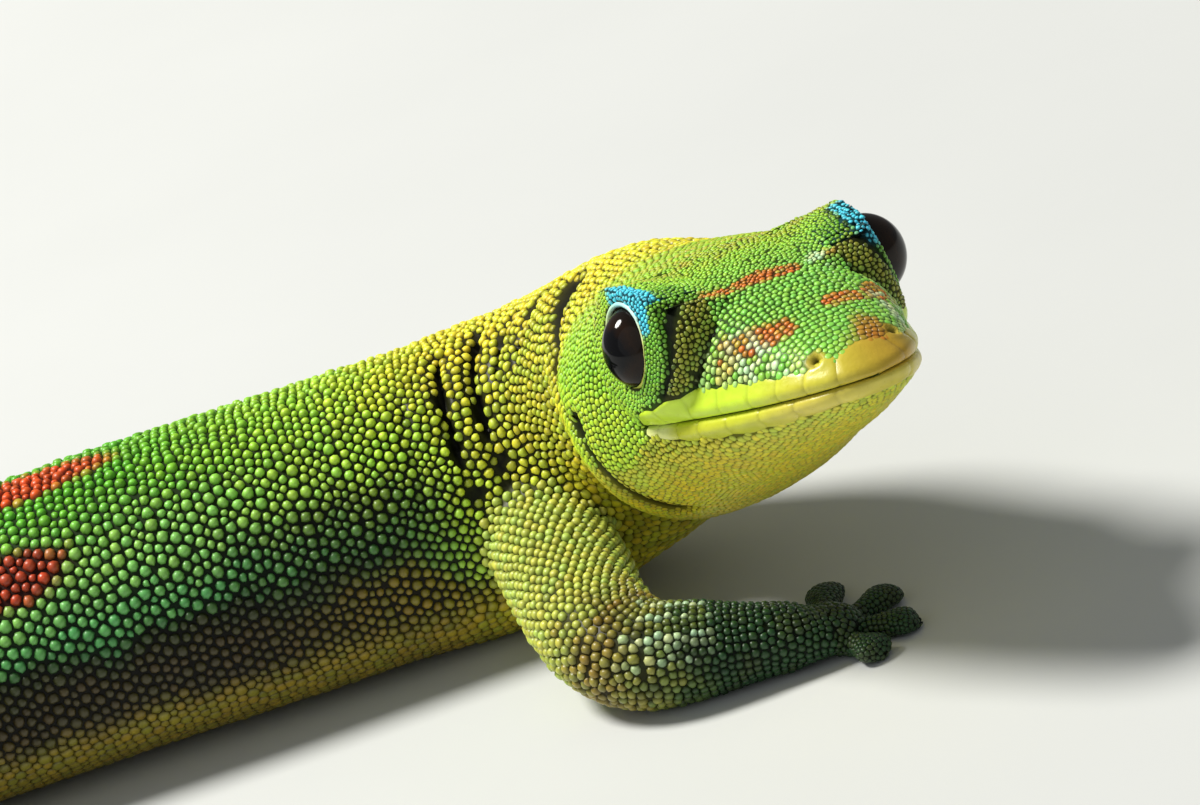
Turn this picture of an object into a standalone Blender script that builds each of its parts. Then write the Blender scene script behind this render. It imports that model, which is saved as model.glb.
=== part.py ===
"""A gold dust day gecko at life size, head raised and turned to its right, resting on a flat floor.

Lengths are in millimetres and become metres where a mesh is made. +X runs forward along the
trunk, +Y is the animal's left, +Z is up and the floor is Z = 0. The origin lies on the floor
under the middle of the belly.
"""

import math
from collections import namedtuple

import bmesh
import bpy
import numpy as np
from mathutils import Matrix, Vector

MM = 0.001
# Clearance kept between pieces that meet.
GAP = 0.3

# Stations along the spine, measured back from the tip of the snout.
EYE_AT = 8.0
HEAD_RIGID_TO = 15.0
HEAD_END = 16.6
NECK_END = 24.4
SHOULDER = 26.0
CHEST = 31.0
BELLY = 40.0
TORSO_SPLIT = 42.0
HIP = 55.0
TORSO_END = 61.5
TAIL_BASE_END = 80.0
TAIL_MIDDLE_END = 103.0
TAIL_TIP = 127.0

# A cross-section: half its width, its top, bottom and widest level measured from the spine line,
# and how square its upper and lower halves are (2 is an ellipse).
Section = namedtuple("Section", "at half_width top bottom waist upper lower")
SECTIONS = [
    Section(0.0, 0.02, 0.72, 0.68, 0.70, 2.0, 2.0),
    Section(0.35, 1.05, 1.25, 0.12, 0.68, 2.1, 2.0),
    Section(1.0, 1.75, 1.80, -0.36, 0.60, 2.3, 2.0),
    Section(2.0, 2.35, 2.25, -0.85, 0.45, 2.4, 2.0),
    Section(4.0, 3.15, 2.90, -1.68, 0.15, 2.4, 2.1),
    Section(6.0, 3.85, 3.40, -2.52, -0.10, 2.4, 2.2),
    Section(EYE_AT, 4.30, 3.75, -3.32, -0.35, 2.4, 2.2),
    Section(10.0, 4.95, 3.85, -4.18, -0.50, 2.4, 2.2),
    Section(11.5, 5.40, 3.70, -4.82, -0.55, 2.3, 2.2),
    Section(13.0, 5.25, 3.50, -5.34, -0.55, 2.2, 2.2),
    Section(HEAD_RIGID_TO, 4.70, 3.25, -5.75, -0.50, 2.1, 2.1),
    Section(17.5, 4.20, 3.35, -5.80, -0.40, 2.1, 2.1),
    Section(21.0, 4.25, 3.95, -5.60, -0.30, 2.1, 2.1),
    Section(SHOULDER, 4.90, 4.90, -5.20, -0.60, 2.1, 2.5),
    Section(CHEST, 5.20, 5.20, -4.45, -0.60, 2.1, 2.6),
    Section(BELLY, 5.50, 5.15, -4.60, -0.60, 2.1, 2.3),
    Section(49.0, 5.40, 4.70, -4.50, -0.60, 2.1, 2.3),
    Section(HIP, 4.60, 4.00, -3.90, -0.40, 2.1, 2.3),
    Section(60.0, 3.80, 3.20, -3.10, -0.20, 2.1, 2.2),
    Section(64.0, 3.50, 2.75, -2.60, -0.20, 2.1, 2.2),
    Section(70.0, 3.70, 2.50, -2.35, -0.20, 2.2, 2.3),
    Section(TAIL_BASE_END, 3.90, 2.20, -2.10, -0.20, 2.3, 2.4),
    Section(95.0, 3.30, 1.75, -1.65, -0.15, 2.3, 2.4),
    Section(108.0, 2.30, 1.25, -1.20, -0.10, 2.2, 2.3),
    Section(118.0, 1.35, 0.80, -0.75, -0.05, 2.1, 2.2),
    Section(124.5, 0.62, 0.42, -0.38, 0.0, 2.0, 2.0),
    Section(TAIL_TIP, 0.06, 0.06, -0.05, 0.0, 2.0, 2.0),
]
# The underside lies this much below the floor before it is flattened on it.
FLATTENED = 0.12

# Bends of the spine seen from above: from, to and the turn to the animal's left on the way back.
HEAD_YAW = -69.0
YAW_BENDS = [
    (14.5, 29.0, 69.0),
    (60.0, 84.0, -34.0),
    (84.0, 122.0, 52.0),
]
# Bends seen from the side: the nose-up slope of the head, and its changes on the way back.
HEAD_PITCH = 5.0
PITCH_BENDS = [(14.5, 20.0, 27.0), (20.0, CHEST, -32.0)]
# The left side of the head hangs lower by this angle.
HEAD_ROLL = -4.5
SPINE_STEP = 0.25

# Eyes, in the head's own frame: forward, left and up from the point midway between them.
EYE_LEVEL = 2.6
GLOBE_CENTRE = Vector((0.05, 3.95, -0.35))
GLOBE = Vector((1.12, 1.38, 1.33))
EYE_FORWARD = 8.0
EYE_UP = 8.0
LID_THICKNESS = 0.24
# The left eye looks further out and up, so its lids are wider open and lie lower on the ball. Values
# for one side are kept under +1 for the animal's left and -1 for its right.
LID_HALF_HEIGHT = {1: 1.74, -1: 1.68}
LID_HALF_WIDTH = {1: 1.48, -1: 1.42}
LID_PLANE = {1: 0.06, -1: 0.42}
# The mound that carries each eye: its radius, its height and how softly it leaves the head.
ORBIT_RADIUS = 2.75
ORBIT_HEIGHT = {1: 0.18, -1: 0.64}
ORBIT_BLEND = 0.45

# The mouth runs from this station round the tip of the snout, a groove between two soft lips.
MOUTH_CORNER = 8.9
GROOVE_DEPTH = 0.20
GROOVE_WIDTH = 0.11
LIP_RISE = 0.13
LIP_OFFSET = 0.36
LIP_WIDTH = 0.19
# Heights above and below the mouth at which the head's rings hold points.
LIP_ROWS = [(0.11, 0.12), (0.32, 0.33), (0.62, 0.6)]
NOSTRIL = Vector((6.78, 1.38, -1.0))
NOSTRIL_SIZE = Vector((0.24, 0.24, 0.24))
EAR = Vector((-4.1, 5.15, -3.1))
EAR_SIZE = Vector((0.34, 0.45, 0.55))
HEAD_STATIONS = [0.07, 0.18, 0.36, 0.7, 1.15, 1.7, 2.4, 3.1, 3.8, 4.5, 5.1, 5.6, 6.1, 6.6, 7.1]
HEAD_STATIONS += [7.6, 8.1, 8.6, 9.0, 9.5, 10.0, 10.6, 11.3, 12.1, 13.0, 14.0, 15.2]
HEAD_TOP_POINTS = 12
HEAD_THROAT_POINTS = 6

SKIN_COLOURS = {
    "head": (0.42, 0.72, 0.10),
    "neck": (0.62, 0.66, 0.05),
    "body": (0.22, 0.55, 0.10),
    "tail": (0.20, 0.52, 0.12),
    "leg": (0.50, 0.58, 0.06),
}


def smoothstep(value):
    value = min(max(value, 0.0), 1.0)
    return value * value * (3.0 - 2.0 * value)


def through(keys, values, at):
    """A smooth curve through the values that never overshoots them."""
    keys = np.asarray(keys, float)
    values = np.asarray(values, float)
    steps = np.diff(keys)
    slopes = np.diff(values) / steps
    tangents = np.zeros(len(keys))
    for i in range(1, len(keys) - 1):
        before, after = slopes[i - 1], slopes[i]
        if before * after > 0:
            first = 2 * steps[i] + steps[i - 1]
            second = steps[i] + 2 * steps[i - 1]
            tangents[i] = (first + second) / (first / before + second / after)
    tangents[0], tangents[-1] = slopes[0], slopes[-1]
    i = int(np.clip(np.searchsorted(keys, at, side="right") - 1, 0, len(steps) - 1))
    t = (at - keys[i]) / steps[i]
    return float(
        (1 + 2 * t) * (1 - t) ** 2 * values[i]
        + t * (1 - t) ** 2 * steps[i] * tangents[i]
        + t * t * (3 - 2 * t) * values[i + 1]
        + t * t * (t - 1) * steps[i] * tangents[i + 1]
    )


def section_at(at):
    keys = [section.at for section in SECTIONS]
    sizes = [through(keys, column, at) for column in list(zip(*SECTIONS))[1:]]
    return Section(at, *sizes)


def bent(start, bends, at):
    return start + sum(turn * smoothstep((at - a) / (b - a)) for a, b, turn in bends)


class Spine:
    """The line through the body from the snout to the tail, with its directions."""

    def __init__(self):
        self.at = np.arange(0.0, TAIL_TIP + SPINE_STEP / 2, SPINE_STEP)
        count = len(self.at)
        self.yaw = np.array([math.radians(bent(HEAD_YAW, YAW_BENDS, s)) for s in self.at])
        slope = np.array([math.radians(bent(HEAD_PITCH, PITCH_BENDS, s)) for s in self.at])
        height = np.array([-section_at(s).bottom - FLATTENED for s in self.at])
        chest = int(round(CHEST / SPINE_STEP))
        for i in range(chest - 1, -1, -1):
            height[i] = height[i + 1] + math.sin(slope[i]) * SPINE_STEP
        rise = np.gradient(height, SPINE_STEP)
        self.pitch = np.where(self.at < CHEST, slope, -np.arcsin(rise))
        run = np.cos(self.pitch) * SPINE_STEP
        x = np.zeros(count)
        y = np.zeros(count)
        for i in range(1, count):
            x[i] = x[i - 1] - math.cos(self.yaw[i]) * run[i]
            y[i] = y[i - 1] - math.sin(self.yaw[i]) * run[i]
        belly = int(round(BELLY / SPINE_STEP))
        self.points = np.stack([x - x[belly], y - y[belly], height], axis=1)

    def frame(self, at):
        """The point on the spine and the forward, left and up directions there."""
        point = Vector([float(np.interp(at, self.at, self.points[:, k])) for k in range(3)])
        yaw = float(np.interp(at, self.at, self.yaw))
        pitch = float(np.interp(at, self.at, self.pitch))
        roll = math.radians(HEAD_ROLL) * (1 - smoothstep((at - HEAD_RIGID_TO) / 12.0))
        forward = Vector(
            (math.cos(pitch) * math.cos(yaw), math.cos(pitch) * math.sin(yaw), math.sin(pitch))
        )
        left = Vector((-math.sin(yaw), math.cos(yaw), 0.0))
        left.rotate(Matrix.Rotation(roll, 3, forward))
        return point, forward, left, forward.cross(left)


SPINE = Spine()


def head_to_world():
    """Turns a point given forward, left and up of the middle of the eyes into world millimetres."""
    point, forward, left, up = SPINE.frame(EYE_AT)
    turn = Matrix((forward, left, up)).transposed().to_4x4()
    return Matrix.Translation(point + up * EYE_LEVEL) @ turn


HEAD = head_to_world()
HEAD_INVERSE = HEAD.inverted()


def mirrored(point, side):
    """The point on the animal's left (+1) or right (-1) side of the head."""
    return Vector((point.x, point.y * side, point.z))


def eye_facing(side):
    forward, up = math.radians(EYE_FORWARD), math.radians(EYE_UP)
    return Vector((math.sin(forward) * math.cos(up), side * math.cos(forward) * math.cos(up), math.sin(up)))


def power(value, square):
    return math.copysign(abs(value) ** (2.0 / square), value)


def skin_point(at, angle, extra=0.0):
    """A point of the body's surface, at an angle counted from the animal's left over its back."""
    size = section_at(at)
    point, forward, left, up = SPINE.frame(at)
    c, s = math.cos(angle), math.sin(angle)
    square = size.upper if s > 0 else size.lower
    reach = size.top - size.waist if s > 0 else size.waist - size.bottom
    across = (size.half_width + extra) * power(c, square)
    above = (reach + extra) * power(s, square)
    place = point + left * across + up * (size.waist + above)
    if at < MOUTH_CORNER + 1.0:
        widening = (section_at(at + 0.05).half_width - size.half_width) / 0.05
        outward = (left * math.copysign(1.0, c) + forward * widening).normalized()
        place = place + outward * lip_rise(at, above)
    if at < HEAD_RIGID_TO:
        place = with_orbits(place)
    if at >= NECK_END:
        place.z = max(place.z, 0.0)
    return place


def lip_rise(at, above):
    """How far the lips stand out at a height above the mouth, less than zero in its groove."""
    groove = math.exp(-((above / GROOVE_WIDTH) ** 2))
    lip = math.exp(-(((abs(above) - LIP_OFFSET) / LIP_WIDTH) ** 2))
    fade = 1 - smoothstep((at - MOUTH_CORNER + 0.4) / 0.8)
    return (LIP_RISE * lip - GROOVE_DEPTH * groove) * fade


def with_orbits(place):
    """Raises the mound that carries each eye."""
    local = HEAD_INVERSE @ place
    for side in (1, -1):
        axis = eye_facing(side)
        offset = local - mirrored(GLOBE_CENTRE, side)
        height = offset.dot(axis)
        away = (offset - axis * height).length / ORBIT_RADIUS
        if height < -2.2 or away >= 1.0:
            continue
        mound = ORBIT_HEIGHT[side] * math.sqrt(1 - away * away)
        step = height - mound
        raised = (height + mound + math.hypot(step, ORBIT_BLEND)) / 2
        fade = 1 - smoothstep((away - 0.75) / 0.25)
        local = local + axis * (raised - height) * fade
    return HEAD @ local


def body_ring(at, sides, extra=0.0, ahead=0.0):
    """Points round the body, the whole ring moved ahead of its station where a cut needs room."""
    shift = SPINE.frame(at)[1] * ahead
    return [skin_point(at, 2 * math.pi * i / sides, extra) + shift for i in range(sides)]


def head_ring(at, ahead=0.0):
    """Points round the head, with rows of them kept along the lips."""
    size = section_at(at)

    def half(reach, square, count):
        rows = [math.asin((min(d / reach, most)) ** (square / 2)) for d, most in LIP_ROWS]
        last = rows[-1]
        over = [last + (math.pi - 2 * last) * i / (count + 1) for i in range(1, count + 1)]
        return [0.0] + rows + over + [math.pi - angle for angle in reversed(rows)]

    upper = half(size.top - size.waist, size.upper, HEAD_TOP_POINTS)
    lower = half(size.waist - size.bottom, size.lower, HEAD_THROAT_POINTS)
    angles = upper + [math.pi + angle for angle in lower]
    shift = SPINE.frame(at)[1] * ahead
    return [skin_point(at, angle) + shift for angle in angles]


def material(name, colour, roughness):
    made = bpy.data.materials.new(name)
    made.use_nodes = True
    shader = made.node_tree.nodes["Principled BSDF"]
    shader.inputs["Base Color"].default_value = (*colour, 1.0)
    shader.inputs["Roughness"].default_value = roughness
    shader.inputs["Metallic"].default_value = 0.0
    return made


def add_object(name, mesh, collection, finish=None):
    made = bpy.data.objects.new(name, mesh)
    collection.objects.link(made)
    if finish:
        mesh.materials.append(finish)
    mesh.shade_smooth()
    return made


def loft(name, rings, collection, finish=None):
    """A closed skin through rings of points that all hold the same number."""
    bm = bmesh.new()
    loops = [[bm.verts.new(point * MM) for point in ring] for ring in rings]
    sides = len(loops[0])
    for first, second in zip(loops, loops[1:]):
        for i in range(sides):
            j = (i + 1) % sides
            bm.faces.new((first[i], first[j], second[j], second[i]))
    bm.faces.new(loops[0])
    bm.faces.new(loops[-1])
    bmesh.ops.recalc_face_normals(bm, faces=bm.faces)
    mesh = bpy.data.meshes.new(name)
    bm.to_mesh(mesh)
    bm.free()
    return add_object(name, mesh, collection, finish)


def ellipsoid(name, centre, size, turn, collection, segments=22, rings=12):
    """A ball stretched along its own axes, turned and placed in the world."""
    bm = bmesh.new()
    bmesh.ops.create_uvsphere(bm, u_segments=segments, v_segments=rings, radius=1.0)
    matrix = Matrix.Translation(centre) @ turn.to_4x4() @ Matrix.Diagonal((*size, 1.0))
    bmesh.ops.transform(bm, matrix=Matrix.Scale(MM, 4) @ matrix, verts=bm.verts)
    mesh = bpy.data.meshes.new(name)
    bm.to_mesh(mesh)
    bm.free()
    return add_object(name, mesh, collection)


def combine(target, operation, others):
    """Joins or cuts the target with closed meshes, and removes them."""
    group = bpy.data.collections.new(target.name + "_" + operation.lower())
    bpy.context.scene.collection.children.link(group)
    for other in others:
        for owner in list(other.users_collection):
            owner.objects.unlink(other)
        group.objects.link(other)
    modifier = target.modifiers.new(operation, "BOOLEAN")
    modifier.operation = operation
    modifier.operand_type = "COLLECTION"
    modifier.collection = group
    modifier.solver = "EXACT"
    apply_modifiers(target)
    for other in others:
        bpy.data.objects.remove(other)
    bpy.data.collections.remove(group)


def apply_modifiers(target):
    bpy.context.view_layer.update()
    graph = bpy.context.evaluated_depsgraph_get()
    mesh = bpy.data.meshes.new_from_object(target.evaluated_get(graph))
    finishes = list(target.data.materials)
    target.modifiers.clear()
    target.data = mesh
    mesh.materials.clear()
    for finish in finishes:
        mesh.materials.append(finish)
    keep_largest(mesh)


def keep_largest(mesh):
    """Leaves only the largest closed surface, so no sealed hollow or loose scrap stays."""
    bm = bmesh.new()
    bm.from_mesh(mesh)
    bmesh.ops.remove_doubles(bm, verts=bm.verts, dist=2e-6)
    bmesh.ops.dissolve_degenerate(bm, edges=bm.edges, dist=2e-6)
    left = set(bm.verts)
    groups = []
    while left:
        front = [left.pop()]
        group = set(front)
        while front:
            for edge in front.pop().link_edges:
                for vert in edge.verts:
                    if vert in left:
                        left.remove(vert)
                        group.add(vert)
                        front.append(vert)
        groups.append(group)
    groups.sort(key=len)
    for group in groups[:-1]:
        bmesh.ops.delete(bm, geom=list(group), context="VERTS")
    bm.to_mesh(mesh)
    bm.free()


# The head


def eye_turn(side):
    """Turns a ball so that its own axes run along the eye's rim, up the rim and outward."""
    out = eye_facing(side)
    along = Vector((0, 0, 1)).cross(out).normalized()
    local = Matrix((along, out.cross(along), out)).transposed()
    return HEAD.to_3x3() @ local


def lid(side, collection):
    """The raised rim round one eye, a flattened ring."""
    bpy.ops.mesh.primitive_torus_add(
        major_segments=26, minor_segments=8, major_radius=1.0, minor_radius=LID_THICKNESS
    )
    ring = bpy.context.object
    ring.name = "lid_ring"
    centre = HEAD @ (mirrored(GLOBE_CENTRE, side) + eye_facing(side) * LID_PLANE[side])
    stretch = Matrix.Diagonal((LID_HALF_WIDTH[side], LID_HALF_HEIGHT[side], 1.0, 1.0))
    place = Matrix.Translation(centre) @ eye_turn(side).to_4x4() @ stretch
    ring.data.transform(Matrix.Scale(MM, 4) @ place)
    for owner in list(ring.users_collection):
        owner.objects.unlink(ring)
    collection.objects.link(ring)
    return ring


def head_hollows(side, cutters):
    """The balls that cut one side's eye socket, nostril and ear."""
    clear = Vector((GAP, GAP, GAP))
    middle = HEAD @ mirrored(GLOBE_CENTRE, side)
    upright = HEAD.to_3x3()
    return [
        ellipsoid("socket", middle, GLOBE + clear, eye_turn(side), cutters),
        ellipsoid("nostril", HEAD @ mirrored(NOSTRIL, side), NOSTRIL_SIZE, upright, cutters, 10, 6),
        ellipsoid("ear", HEAD @ mirrored(EAR, side), EAR_SIZE, upright, cutters, 12, 8),
    ]


def build_head(body, cutters, finish):
    rings = [head_ring(at) for at in HEAD_STATIONS]
    rings.append(head_ring(HEAD_END, GAP / 2))
    head = loft("head", rings, body, finish)
    combine(head, "UNION", [lid(side, cutters) for side in (1, -1)])
    combine(head, "DIFFERENCE", head_hollows(1, cutters) + head_hollows(-1, cutters))


def build_eye(side, body, finish):
    name = "eye_left" if side > 0 else "eye_right"
    centre = HEAD @ mirrored(GLOBE_CENTRE, side)
    eye = ellipsoid(name, centre, GLOBE, eye_turn(side), body)
    eye.data.materials.append(finish)


# The body and tail

# Each length of the body: its name, its ends along the spine, the distance between its rings, the
# points in a ring and its skin.
Length = namedtuple("Length", "name start end spacing sides skin")
LENGTHS = [
    Length("neck", HEAD_END, NECK_END, 1.1, 28, "neck"),
    Length("torso_front", NECK_END, TORSO_SPLIT, 1.8, 28, "body"),
    Length("torso_rear", TORSO_SPLIT, TORSO_END, 1.9, 28, "body"),
    Length("tail_base", TORSO_END, TAIL_BASE_END, 2.0, 20, "tail"),
    Length("tail_middle", TAIL_BASE_END, TAIL_MIDDLE_END, 2.2, 20, "tail"),
    Length("tail_tip", TAIL_MIDDLE_END, TAIL_TIP, 2.0, 16, "tail"),
]


def build_length(length, body, finish):
    """One length of the body between two cuts across the spine, or from a cut to the tail's tip."""
    name, start, end, spacing, sides, _ = length
    count = max(2, round((end - start) / spacing))
    rings = [body_ring(start, sides, ahead=-GAP / 2)]
    for i in range(1, count):
        rings.append(body_ring(start + (end - start) * i / count, sides))
    rings.append(body_ring(end, sides, ahead=0.0 if end == TAIL_TIP else GAP / 2))
    loft(name, rings, body, finish)


# The legs

# Each leg as joints in world millimetres: inside the trunk, middle joint, wrist or ankle, and the
# middle of the palm or sole, with half widths at them, and the way the toes point.
Leg = namedtuple("Leg", "name parts joints widths toe_yaw toe_lengths toe_fan")
FORE_WIDTHS = [2.3, 2.1, 1.95, 1.70, 1.28, 1.42]
HIND_WIDTHS = [2.9, 2.5, 1.85, 1.7, 1.25, 1.5]
FORE_TOES = [1.5, 4.0, 3.1, 2.6, 2.2]
HIND_TOES = [1.8, 3.6, 4.5, 5.0, 4.0]
FORE_FAN = [98.0, 54.0, 13.0, -40.0, -84.0]
HIND_FAN = [70.0, 36.0, 10.0, -16.0, -62.0]
LEGS = [
    Leg(
        "right_fore",
        ("upper_arm", "forearm", "hand"),
        [(14.6, -1.8, 4.4), (15.7, -12.3, 1.85), (21.0, -13.2, 1.15), (22.4, -12.9, 0.78)],
        FORE_WIDTHS,
        30.0,
        FORE_TOES,
        FORE_FAN,
    ),
    Leg(
        "left_fore",
        ("upper_arm", "forearm", "hand"),
        [(13.8, 1.8, 4.4), (10.6, 9.6, 2.6), (14.8, 13.0, 1.35), (16.3, 14.2, 0.75)],
        FORE_WIDTHS,
        32.0,
        FORE_TOES,
        FORE_FAN,
    ),
    Leg(
        "right_hind",
        ("thigh", "shin", "foot"),
        [(-15.4, -1.4, 4.0), (-9.2, -9.4, 3.4), (-15.2, -13.4, 1.5), (-15.0, -15.6, 0.8)],
        HIND_WIDTHS,
        -48.0,
        HIND_TOES,
        HIND_FAN,
    ),
    Leg(
        "left_hind",
        ("thigh", "shin", "foot"),
        [(-15.4, 1.4, 4.0), (-12.6, 10.4, 3.2), (-20.4, 12.2, 1.5), (-21.2, 14.4, 0.8)],
        HIND_WIDTHS,
        76.0,
        HIND_TOES,
        HIND_FAN,
    ),
]
LEG_SIDES = 12
LEG_FLATNESS = 0.92
PALM_FLATNESS = 0.55
TOE_SIDES = 8
TOE_PAD = 0.82
TOE_SHAFT = 0.50
TOE_HEIGHT = 0.55
# Along a toe: share of its length, half width and half height.
TOE_SHAPE = [
    (0.0, TOE_SHAFT * 1.25, TOE_HEIGHT * 1.25),
    (0.40, TOE_SHAFT, TOE_HEIGHT * 0.95),
    (0.68, TOE_PAD * 0.90, TOE_HEIGHT * 0.95),
    (0.82, TOE_PAD, TOE_HEIGHT * 0.92),
    (0.93, TOE_PAD * 0.82, TOE_HEIGHT * 0.80),
    (1.0, TOE_PAD * 0.32, TOE_HEIGHT * 0.40),
]
# How far each toe starts from the middle of the palm, and how deep its underside is cut.
TOE_ROOT = 0.55
TOE_SUNK = 0.20


def rounded(points, times):
    """Cuts the corners of a line over and over, which bends it smoothly."""
    for _ in range(times):
        cut = [points[0]]
        for a, b in zip(points, points[1:]):
            cut += [a.lerp(b, 0.25), a.lerp(b, 0.75)]
        points = cut + [points[-1]]
    return points


class LegLine:
    """The smooth middle line of a leg, read by its share of the whole length."""

    def __init__(self, leg):
        root, joint, wrist, palm = [Vector(p) for p in leg.joints]
        line = rounded([root, root.lerp(joint, 0.3), joint, joint.lerp(wrist, 0.7), wrist, palm], 4)
        self.points = np.array(line)
        steps = np.linalg.norm(np.diff(self.points, axis=0), axis=1)
        self.along = np.concatenate([[0], np.cumsum(steps)])
        self.length = self.along[-1]
        self.along /= self.length
        self.joint_at = self.nearest(joint)
        self.wrist_at = self.nearest(wrist)
        self.widths = leg.widths
        self.keys = [0.0, self.joint_at * 0.5, self.joint_at, (self.joint_at + self.wrist_at) / 2]
        self.keys += [self.wrist_at, 1.0]

    def nearest(self, point):
        return float(self.along[np.argmin(np.linalg.norm(self.points - np.array(point), axis=1))])

    def at(self, share):
        return Vector([float(np.interp(share, self.along, self.points[:, k])) for k in range(3)])

    def ring(self, share, ahead=0.0):
        """Points round the leg, flatter towards the palm."""
        step = 0.02
        forward = (self.at(min(share + step, 1.0)) - self.at(max(share - step, 0.0))).normalized()
        side = Vector((0, 0, 1)).cross(forward).normalized()
        up = forward.cross(side)
        width = through(self.keys, self.widths, share)
        palm = smoothstep((share - self.wrist_at) / (1.0 - self.wrist_at))
        tall = width * (LEG_FLATNESS + (PALM_FLATNESS - LEG_FLATNESS) * palm)
        centre = self.at(share) + forward * ahead
        turns = [2 * math.pi * i / LEG_SIDES for i in range(LEG_SIDES)]
        return [centre + side * width * math.cos(a) + up * tall * math.sin(a) for a in turns]


def toe_rings(start, heading, length):
    """A toe lying on the floor: a narrow shaft that widens into a round pad."""
    forward = Vector((math.cos(heading), math.sin(heading), 0.0))
    side = Vector((-forward.y, forward.x, 0.0))
    up = Vector((0.0, 0.0, 1.0))
    turns = [2 * math.pi * (i + 0.5) / TOE_SIDES for i in range(TOE_SIDES)]
    rings = []
    for share, width, tall in TOE_SHAPE:
        centre = start + forward * length * share
        centre.z = tall * (1 - TOE_SUNK)
        rings.append([centre + side * width * math.cos(a) + up * tall * math.sin(a) for a in turns])
    return rings


def floor_slab(collection):
    bm = bmesh.new()
    bmesh.ops.create_cube(bm, size=1.0)
    place = Matrix.Translation((0, 0, -5.0)) @ Matrix.Diagonal((200.0, 120.0, 10.0, 1.0))
    bmesh.ops.transform(bm, matrix=Matrix.Scale(MM, 4) @ place, verts=bm.verts)
    mesh = bpy.data.meshes.new("floor_slab")
    bm.to_mesh(mesh)
    bm.free()
    return add_object("floor_slab", mesh, collection)


def clear_of_trunk(collection):
    """The trunk grown by the clearance, which trims the root of a leg."""
    stations = [18.0 + 2.0 * i for i in range(23)]
    return loft("trunk_clearance", [body_ring(at, 28, GAP) for at in stations], collection)


def build_leg(leg, body, cutters, finish):
    line = LegLine(leg)
    upper, lower, end = leg.parts

    def length_of(name, start, stop, count):
        rings = [line.ring(start, GAP / 2 if start else 0.0)]
        rings += [line.ring(start + (stop - start) * i / count) for i in range(1, count)]
        rings.append(line.ring(stop, -GAP / 2 if stop < 1.0 else 0.0))
        return loft(name, rings, body, finish)

    first = length_of(f"{leg.name}_{upper}", 0.0, line.joint_at, 7)
    combine(first, "DIFFERENCE", [clear_of_trunk(cutters)])
    second = length_of(f"{leg.name}_{lower}", line.joint_at, line.wrist_at, 6)
    combine(second, "DIFFERENCE", [floor_slab(cutters)])
    hand = length_of(f"{leg.name}_{end}", line.wrist_at, 1.0, 4)
    combine(hand, "UNION", fingers(leg, line.at(1.0), cutters))
    combine(hand, "DIFFERENCE", [floor_slab(cutters)])


def fingers(leg, palm, cutters):
    """The fan of toes, and the rounded end of the palm between their roots."""
    yaw = math.radians(leg.toe_yaw)
    handed = 1 if leg.name.startswith("right") else -1
    made = []
    for length, fan in zip(leg.toe_lengths, leg.toe_fan):
        heading = yaw + handed * math.radians(fan)
        start = palm + Vector((math.cos(heading), math.sin(heading), 0.0)) * TOE_ROOT
        made.append(loft("toe", toe_rings(start, heading, length), cutters))
    width = leg.widths[-1]
    size = Vector((width, width, width * PALM_FLATNESS))
    made.append(ellipsoid("palm_end", palm, size, Matrix.Rotation(yaw, 3, "Z"), cutters, 14, 8))
    return made


def build():
    for old in list(bpy.data.objects):
        bpy.data.objects.remove(old)
    body = bpy.data.collections.new("gold_dust_day_gecko")
    cutters = bpy.data.collections.new("cutters")
    bpy.context.scene.collection.children.link(body)
    bpy.context.scene.collection.children.link(cutters)
    skins = {name: material("skin_" + name, colour, 0.45) for name, colour in SKIN_COLOURS.items()}
    eye = material("eye", (0.012, 0.008, 0.007), 0.06)

    build_head(body, cutters, skins["head"])
    for side in (1, -1):
        build_eye(side, body, eye)
    for length in LENGTHS:
        build_length(length, body, skins[length.skin])
    for leg in LEGS:
        build_leg(leg, body, cutters, skins["leg"])


build()
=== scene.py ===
# %% [markdown]
# # A gold dust day gecko at life size
# The solids hold the animal's shape in plain pieces. This lesson dresses them: one fine skin with
# its folds, some thirty-five thousand scales set on it in rows, the plates of the lips, and wet eyes.
# Everything is measured in millimetres and turned into metres where a mesh is made.

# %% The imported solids
import math
from collections import namedtuple

import bpy
import numpy as np
from mathutils import Matrix, Vector
from mathutils.bvhtree import BVHTree
from mathutils.kdtree import KDTree


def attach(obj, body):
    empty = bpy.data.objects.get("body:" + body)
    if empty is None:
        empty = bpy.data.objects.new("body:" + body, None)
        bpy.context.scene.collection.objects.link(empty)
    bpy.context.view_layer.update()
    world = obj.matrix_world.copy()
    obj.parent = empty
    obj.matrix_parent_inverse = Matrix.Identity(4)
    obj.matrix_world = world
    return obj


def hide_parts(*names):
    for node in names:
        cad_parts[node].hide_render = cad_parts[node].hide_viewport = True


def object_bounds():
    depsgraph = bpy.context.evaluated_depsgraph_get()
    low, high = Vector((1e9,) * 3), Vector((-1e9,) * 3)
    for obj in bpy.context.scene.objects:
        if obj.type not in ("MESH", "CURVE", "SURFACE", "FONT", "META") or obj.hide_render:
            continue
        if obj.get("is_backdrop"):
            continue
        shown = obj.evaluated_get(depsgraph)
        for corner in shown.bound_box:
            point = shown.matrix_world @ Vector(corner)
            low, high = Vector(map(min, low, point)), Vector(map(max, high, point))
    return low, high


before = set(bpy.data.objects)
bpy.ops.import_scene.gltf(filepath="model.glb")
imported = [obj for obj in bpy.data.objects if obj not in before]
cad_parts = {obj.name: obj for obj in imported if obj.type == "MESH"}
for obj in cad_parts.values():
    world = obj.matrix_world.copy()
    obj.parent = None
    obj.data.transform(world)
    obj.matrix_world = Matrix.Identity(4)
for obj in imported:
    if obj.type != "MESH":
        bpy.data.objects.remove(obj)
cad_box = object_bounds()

MM = 0.001
print("nodes in the frame:", len(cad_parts))
print("box of the solids in mm:", [[round(v / MM, 2) for v in corner] for corner in cad_box])

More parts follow.
